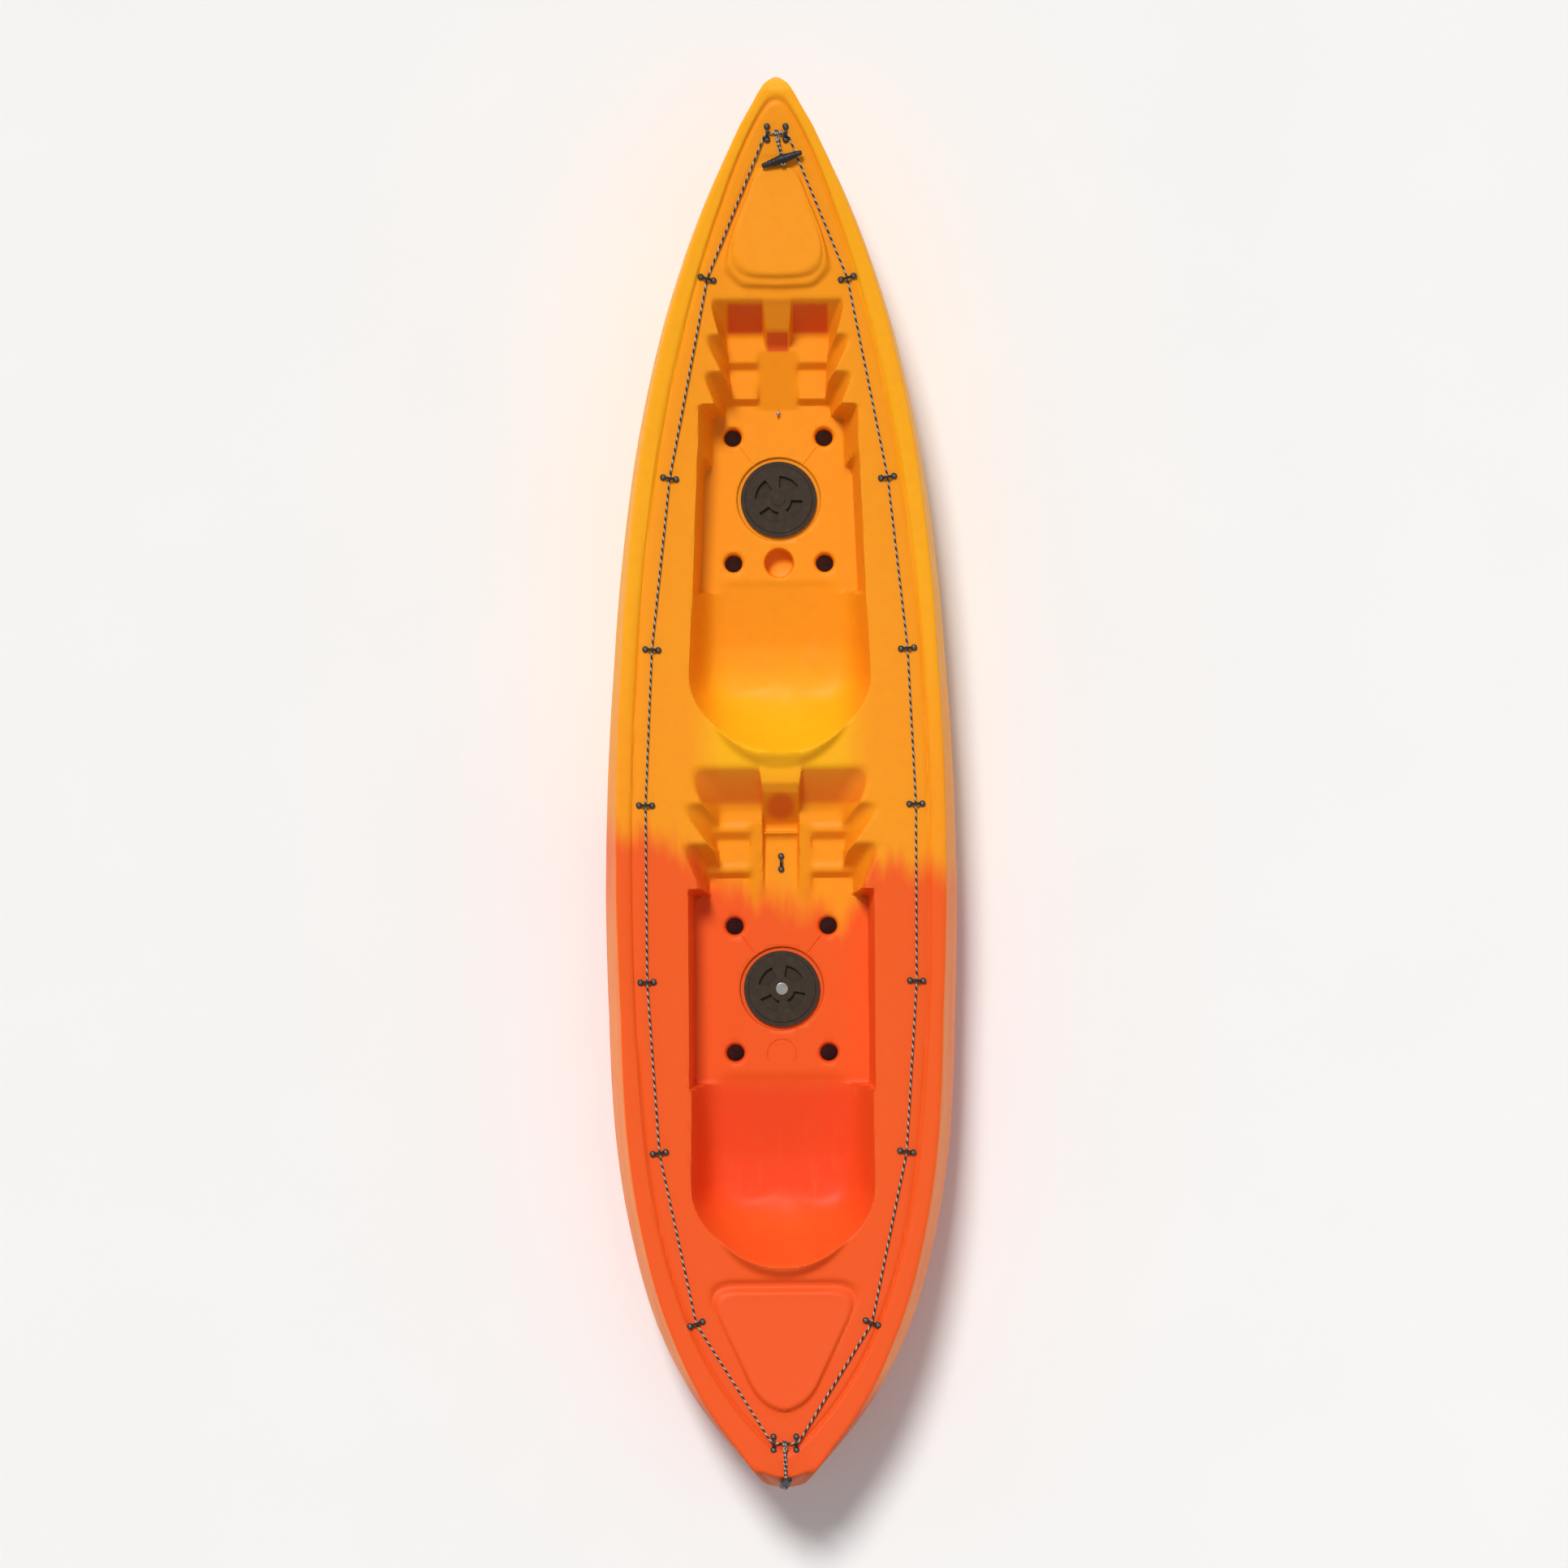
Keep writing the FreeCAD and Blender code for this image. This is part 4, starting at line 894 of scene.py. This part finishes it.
def braid(name, dark, light, fleck_every, share):
    """Braided cord read from its UV: metres along it, and turns round it."""
    n = Nodes(name)
    split = n.add("ShaderNodeSeparateXYZ")
    n.link(n.add("ShaderNodeUVMap", uv_map="cord").outputs[0], split.inputs[0])
    u, v = split.outputs[0], split.outputs[1]

    def ridges(lay, direction):
        turned = n.times(v, 4.0 * direction)
        return n.math("SINE", n.times(n.plus(n.math("DIVIDE", u, lay), turned), math.pi * 2))
    weave = n.math("MAXIMUM", ridges(0.0042, 1), ridges(0.0042, -1))
    along = n.plus(n.math("DIVIDE", u, fleck_every), v)
    edge = n.times(n.math("SUBTRACT", n.noise(300.0, 2.0), 0.5), 0.10)
    band = n.math("LESS_THAN", n.plus(n.math("FRACT", along), edge), share)
    pick = n.times(band, n.between(weave, -0.3, 0.3))
    bright = n.mix(n.noise(420.0, 2.0), light, tuple(c * 0.78 for c in light))
    # Painted shade: the cord is darker in the grooves of the weave and full colour on its ridges.
    base = n.mix(n.times(n.plus(weave, 1.0), 0.5), tuple(c * 0.45 for c in dark), dark)
    n.drive("Base Color", n.mix(pick, base, bright))
    n.shader.inputs["Roughness"].default_value = 0.82
    n.shader.inputs["Sheen Weight"].default_value = 0.10
    n.bump(weave, 0.8, 0.0006)
    return n.material


def floor_material():
    """Pale studio floor."""
    n = Nodes("studio_floor")
    n.drive("Base Color", n.mix(n.noise(2.0, 2.0), (0.90, 0.90, 0.905), (0.93, 0.93, 0.935)))
    n.shader.inputs["Roughness"].default_value = 0.9
    n.shader.inputs["Specular IOR Level"].default_value = 0.1
    return n.material


def paint(obj, material):
    """Give a piece one material."""
    obj.data.materials.clear()
    obj.data.materials.append(material)


# ---- cords

def nurbs_route(name, points):
    """Smooth route through control points, and the same route read back as a fine polyline."""
    data = bpy.data.curves.new(name, "CURVE")
    data.dimensions = "3D"
    data.resolution_u = 10
    spline = data.splines.new("NURBS")
    spline.points.add(len(points) - 1)
    for point, co in zip(spline.points, points):
        point.co = (*co, 1.0)
    spline.order_u = 3
    spline.use_endpoint_u = True
    obj = placed(name, data)
    graph = bpy.context.evaluated_depsgraph_get()
    mesh = bpy.data.meshes.new_from_object(obj.evaluated_get(graph))
    path = np.array([v.co[:] for v in mesh.vertices])
    bpy.data.meshes.remove(mesh)
    bpy.data.objects.remove(obj, do_unlink=True)
    keep = np.concatenate([[True], np.linalg.norm(np.diff(path, axis=0), axis=1) > 1e-6])
    return path[keep]


def even(path, step):
    """The same polyline with points about a step apart."""
    lengths = np.concatenate([[0.0], np.cumsum(np.linalg.norm(np.diff(path, axis=0), axis=1))])
    count = max(int(round(lengths[-1] / step)), 2)
    at = np.linspace(0.0, lengths[-1], count + 1)
    return np.stack([np.interp(at, lengths, path[:, k]) for k in range(3)], axis=1), at


def carried_frames(path):
    """Two directions square to the path at each point, carried along it without twist."""
    tangent = np.gradient(path, axis=0)
    tangent /= np.linalg.norm(tangent, axis=1)[:, None]
    up = np.zeros_like(path)
    up[0] = np.cross(np.cross(tangent[0], (0.02, 0.1, 1.0)), tangent[0])
    up[0] /= np.linalg.norm(up[0])
    for i in range(1, len(path)):
        flat = up[i - 1] - tangent[i] * np.dot(up[i - 1], tangent[i])
        up[i] = flat / np.linalg.norm(flat)
    return np.cross(up, tangent), up


def cord_mesh(name, path, radius, step, around):
    """Round cord with a UV of metres along and turns round."""
    points, at = even(path, step)
    side, up = carried_frames(points)
    turns = np.linspace(0.0, 2 * math.pi, around, endpoint=False)
    vertices = []
    for i in range(len(points)):
        for t in turns:
            vertices.append(points[i] + radius * (side[i] * math.cos(t) + up[i] * math.sin(t)))
    faces = []
    uvs = []
    for i in range(len(points) - 1):
        for k in range(around):
            j = (k + 1) % around
            faces.append((i * around + k, i * around + j, (i + 1) * around + j, (i + 1) * around + k))
            a, b = k / around, (k + 1) / around
            uvs += [(at[i], a), (at[i], b), (at[i + 1], b), (at[i + 1], a)]
    last = (len(points) - 1) * around
    faces.append(tuple(range(around))[::-1])
    uvs += [(0.0, 0.0)] * around
    faces.append(tuple(last + k for k in range(around)))
    uvs += [(at[-1], 0.0)] * around
    mesh = bpy.data.meshes.new(name)
    mesh.from_pydata([tuple(v) for v in vertices], [], faces)
    layer = mesh.uv_layers.new(name="cord")
    layer.data.foreach_set("uv", [c for uv in uvs for c in uv])
    mesh.polygons.foreach_set("use_smooth", [True] * len(mesh.polygons))
    mesh.update()
    return placed(name, mesh)


def twisted_rope(name, path, radius, lay, strands, step, around):
    """Laid rope: strands wound round the path, each a little flattened against its neighbours."""
    points, at = even(path, step)
    side, up = carried_frames(points)
    strand_r = radius * 0.56
    offset = radius - strand_r
    objects = []
    for s in range(strands):
        angle = 2 * math.pi * (s / strands + at / lay)
        centre = points + offset * (side * np.cos(angle)[:, None] + up * np.sin(angle)[:, None])
        objects.append(cord_mesh(name + "_" + str(s + 1), centre, strand_r, step, around))
    return objects


SIDE_EYES = 7
LINE_LOW = 0.0052
LINE_HIGH = 0.0082
LINE_R = 0.0025


def middle(node):
    """Middle of a CAD node's box."""
    low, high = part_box(node)
    return (Vector(low) + Vector(high)) / 2


def line_route():
    """Control points of the deck line: eye to eye, with a point each side of every eye."""
    def at(node, height, out=0.0):
        place = middle(node)
        return np.array([place.x + math.copysign(out, place.x), place.y, float(deck_z(place.y)) + height])
    turn_out = 0.004
    bow_port = at("bow_pad_eye_port", LINE_HIGH, turn_out)
    bow_starboard = at("bow_pad_eye_starboard", LINE_HIGH, turn_out)
    route = [np.array([0.0095, bow_port[1], bow_port[2]]), bow_port]
    route += [at("port_pad_eye_%d" % (i + 1), LINE_LOW) for i in range(SIDE_EYES)]
    route += [at("stern_pad_eye_" + side, LINE_HIGH, turn_out) for side in ("port", "starboard")]
    route += [at("starboard_pad_eye_%d" % (i + 1), LINE_LOW) for i in reversed(range(SIDE_EYES))]
    route += [bow_starboard, np.array([0.0165, bow_starboard[1], bow_starboard[2]])]
    full = [route[0]]
    for before, here, after in zip(route, route[1:], route[2:]):
        guards = []
        for other in (before, after):
            run = other - here
            length = np.linalg.norm(run)
            guards.append(here + run * min(6 * 2 * LINE_R, 0.3 * length) / length)
        full += [guards[0], here, guards[1]]
    full.append(route[-1])
    return full


# ---- toggles and knots

HANDLE_AXES = {"bow_toggle": (1.0, 0.34, 0.08), "stern_toggle": (0.21, 0.28, 1.0)}
TOGGLE_HALF = 0.055
STRAND_R = 0.0024
KNOT_SIZE = 0.0034


def across(axis):
    """Two directions square to an axis and to each other."""
    side = axis.orthogonal().normalized()
    return side, axis.cross(side)


def turned_bar(name, centre, axis, profile, steps=40):
    """Closed turned solid along an axis; profile is (distance from the middle, radius)."""
    side, up = across(axis)
    rings = []
    for along, radius in profile:
        middle_of_ring = centre + axis * along
        rings.append([tuple(middle_of_ring + (side * math.cos(a) + up * math.sin(a)) * radius)
                      for a in np.linspace(0, 2 * math.pi, steps, endpoint=False)])
    return closed_object(name, rings)


def handle_radius(share):
    """Radius of a toggle handle at a share of its half length: a barrel with finger grooves and a collar."""
    barrel = 0.0064 + 0.0052 * math.cos(0.5 * math.pi * min(share / 0.94, 1.0)) ** 1.2
    grooves = 0.0004 * sum(math.exp(-((share - at) / 0.045) ** 2) for at in (0.32, 0.52, 0.72))
    collar = 0.0008 * (1.0 - ease(0.13, 0.17, share))
    end = math.sqrt(max(1.0 - max((share - 0.93) / 0.07, 0.0) ** 2, 0.04))
    return (barrel - grooves + collar) * end


def knot_path(centre, axis, size):
    """Overhand knot: a trefoil curve about an axis."""
    side, up = across(axis)
    points = []
    for t in np.linspace(0.0, 2.06 * math.pi, 90):
        a = math.sin(t) + 2 * math.sin(2 * t)
        b = math.cos(t) - 2 * math.cos(2 * t)
        points.append(centre + (side * a + up * b) * (size * 0.62) - axis * (math.sin(3 * t) * size * 0.9))
    return np.array([tuple(p) for p in points])


def joined(name, parts):
    """One object from several meshes."""
    mesh = bmesh.new()
    for part in parts:
        mesh.from_mesh(part.data)
    data = bpy.data.meshes.new(name)
    mesh.to_mesh(data)
    mesh.free()
    for part in parts:
        bpy.data.objects.remove(part, do_unlink=True)
    return placed(name, data)


def build_toggle(prefix, axis, finishes):
    """Carrying toggle: turned handle, a doubled rope hitched round the deck line, and its stop knot."""
    anchor = Vector(joint_place(prefix + "_swing"))
    centre = middle(prefix + "_handle")
    axis = Vector(axis).normalized()
    pull = (centre - anchor).normalized()
    profile = [(s * TOGGLE_HALF, handle_radius(abs(s))) for s in np.linspace(-1.0, 1.0, 89)]
    handle = turned_bar(prefix + "_grip", centre, axis, profile)
    hole = turned_bar("hole", centre, pull, [(at, 0.0052) for at in (-0.03, 0.0, 0.03)])
    cut(handle, [hole])
    smooth(handle, 35)

    loop_r = 0.0062
    start = anchor + pull * (loop_r + 0.002)
    reach = (centre - start).length + 0.0095
    straight = np.array([tuple(start + pull * at) for at in np.linspace(0.0, reach, 40)])
    strands = twisted_rope(prefix + "_strand", straight, 2 * STRAND_R, 0.030, 2, 0.0012, 12)
    turns = np.linspace(0.0, 2.05 * math.pi, 40)
    for shift in (-0.0025, 0.0025):
        ring = [anchor + Vector((shift, math.cos(t) * loop_r, math.sin(t) * loop_r)) for t in turns]
        strands.append(cord_mesh("ring", np.array([tuple(p) for p in ring]), STRAND_R, 0.0015, 12))
    strands.append(cord_mesh("hitch", knot_path(anchor + pull * 0.0135, pull, 0.0024), STRAND_R, 0.0013, 12))
    rope = joined(prefix + "_lanyard", strands)
    stop = centre + pull * 0.0125
    knot = cord_mesh(prefix + "_stop_knot", knot_path(stop, pull, KNOT_SIZE * 0.75), STRAND_R, 0.0013, 12)
    for piece, node, slot in ((handle, "_handle", "toggle_plastic"), (rope, "_rope", "toggle_rope"),
                              (knot, "_knot", "rope_end")):
        paint(piece, finishes["toggle_rope" if slot == "rope_end" else slot])
        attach(piece, prefix)
        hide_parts(prefix + node)


def joint_place(name):
    """Where a joint's axis is, in metres."""
    for joint in frame["record"]["behaviour"]["joints"]:
        if joint["name"] == name:
            return joint["pos_m"]
    raise ValueError(name)


def build_line_knot(finishes):
    """Knot that ties the two ends of the deck line together between the bow eyes."""
    place = middle("bow_line_knot")
    knot = cord_mesh("line_knot", knot_path(place, Vector((1, 0, 0)), 0.0028), LINE_R, 0.0013, 12)
    paint(knot, finishes["deck_line"])
    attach(knot, "hull")
    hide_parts("bow_line_knot")


# ---- the scene

def build_hull(material):
    """The moulded hull, hollow under its deck."""
    obj = closed_object("hull", hull_mesh(**HULL_GRID))
    hollow = cavity(WALL)
    posts = [lathe("post", [(0.031, -0.04), (0.031, 0.24)], place, 32) for place in DRAIN_PLACES]
    posts.append(lathe("post", [(0.046, FLOOR - 0.064), (0.050, 0.24)], (0.0, CUP_Y), 40))
    cut(hollow, posts)
    cutters = [lathe("hatch_hole", HATCH_PROFILE, (0.0, y), 96) for y in HATCHES_Y]
    cutters.append(lathe("cup", CUP_PROFILE, (0.0, CUP_Y), 72))
    cutters += [lathe("drain", DRAIN_PROFILE, place, 48) for place in DRAIN_PLACES]
    cutters += drain_grooves() + [cup_ring_groove()]
    cut(obj, [hollow] + cutters)
    smooth(obj, 38)
    paint(obj, material)
    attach(obj, "hull")
    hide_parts("hull_shell")


def build_line(material):
    """The deck line, braided, through every pad eye."""
    path = nurbs_route("line_route", line_route())
    obj = cord_mesh("deck_line", path, LINE_R, 0.0035, 10)
    paint(obj, material)
    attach(obj, "hull")
    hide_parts("perimeter_line")


def main():
    look_down_camera(**CAMERA)
    deck_line = braid("deck_line", (0.018, 0.013, 0.008), (0.80, 0.68, 0.52), 0.0200, 0.45)
    build_line(deck_line)
    build_hull(hull_plastic())
    finishes = {
        "hatch_plastic": moulded("hatch_plastic", (0.036, 0.024, 0.014), (0.050, 0.034, 0.021), 0.46),
        "pad_eye_nylon": moulded("pad_eye_nylon", (0.022, 0.021, 0.018), (0.036, 0.034, 0.028), 0.38),
        "toggle_plastic": moulded("toggle_plastic", (0.020, 0.020, 0.022), (0.040, 0.040, 0.042), 0.34),
        "seal_rubber": rubber(),
        "stainless_steel": steel("stainless_steel", (0.56, 0.54, 0.52), (0.72, 0.70, 0.68)),
        "toggle_rope": braid("toggle_rope", (0.024, 0.020, 0.018), (0.70, 0.64, 0.56), 0.0120, 0.45),
        "rope_end": moulded("rope_end", (0.60, 0.55, 0.46), (0.46, 0.41, 0.34), 0.7, 300.0),
        "deck_line": deck_line,
    }
    screws = steel("screw_steel", (0.20, 0.185, 0.17), (0.34, 0.32, 0.30))
    for sub in frame["record"]["subparts"]:
        node = frame["nodes"].get(sub["node"])
        finish = finishes.get(sub["material_slot"])
        if node is not None and finish is not None:
            for place in node.material_slots:
                place.material = screws if sub["node"].endswith("eye_screws") else finish

    build_line_knot(finishes)
    for prefix, axis in HANDLE_AXES.items():
        build_toggle(prefix, axis, finishes)
    bpy.ops.mesh.primitive_plane_add(size=60.0, location=(0.0, 0.0, -0.0005))
    floor = bpy.context.object
    floor.name = "studio_floor"
    paint(floor, floor_material())

    world = bpy.data.worlds.new("studio")
    world.use_nodes = True
    tree = world.node_tree
    split = tree.nodes.new("ShaderNodeSeparateXYZ")
    lift = tree.nodes.new("ShaderNodeMapRange")
    for socket, value in SKY.items():
        lift.inputs[socket].default_value = value
    tree.links.new(tree.nodes.new("ShaderNodeTexCoord").outputs["Generated"], split.inputs[0])
    tree.links.new(split.outputs[2], lift.inputs["Value"])
    tree.nodes["Background"].inputs[0].default_value = (1.0, 1.0, 1.0, 1.0)
    tree.links.new(lift.outputs[0], tree.nodes["Background"].inputs[1])
    bpy.context.scene.world = world
    soft_sun(**SUN)
    area_light("fill", **FILL)
    bpy.context.scene.view_settings.view_transform = "Standard"


main()
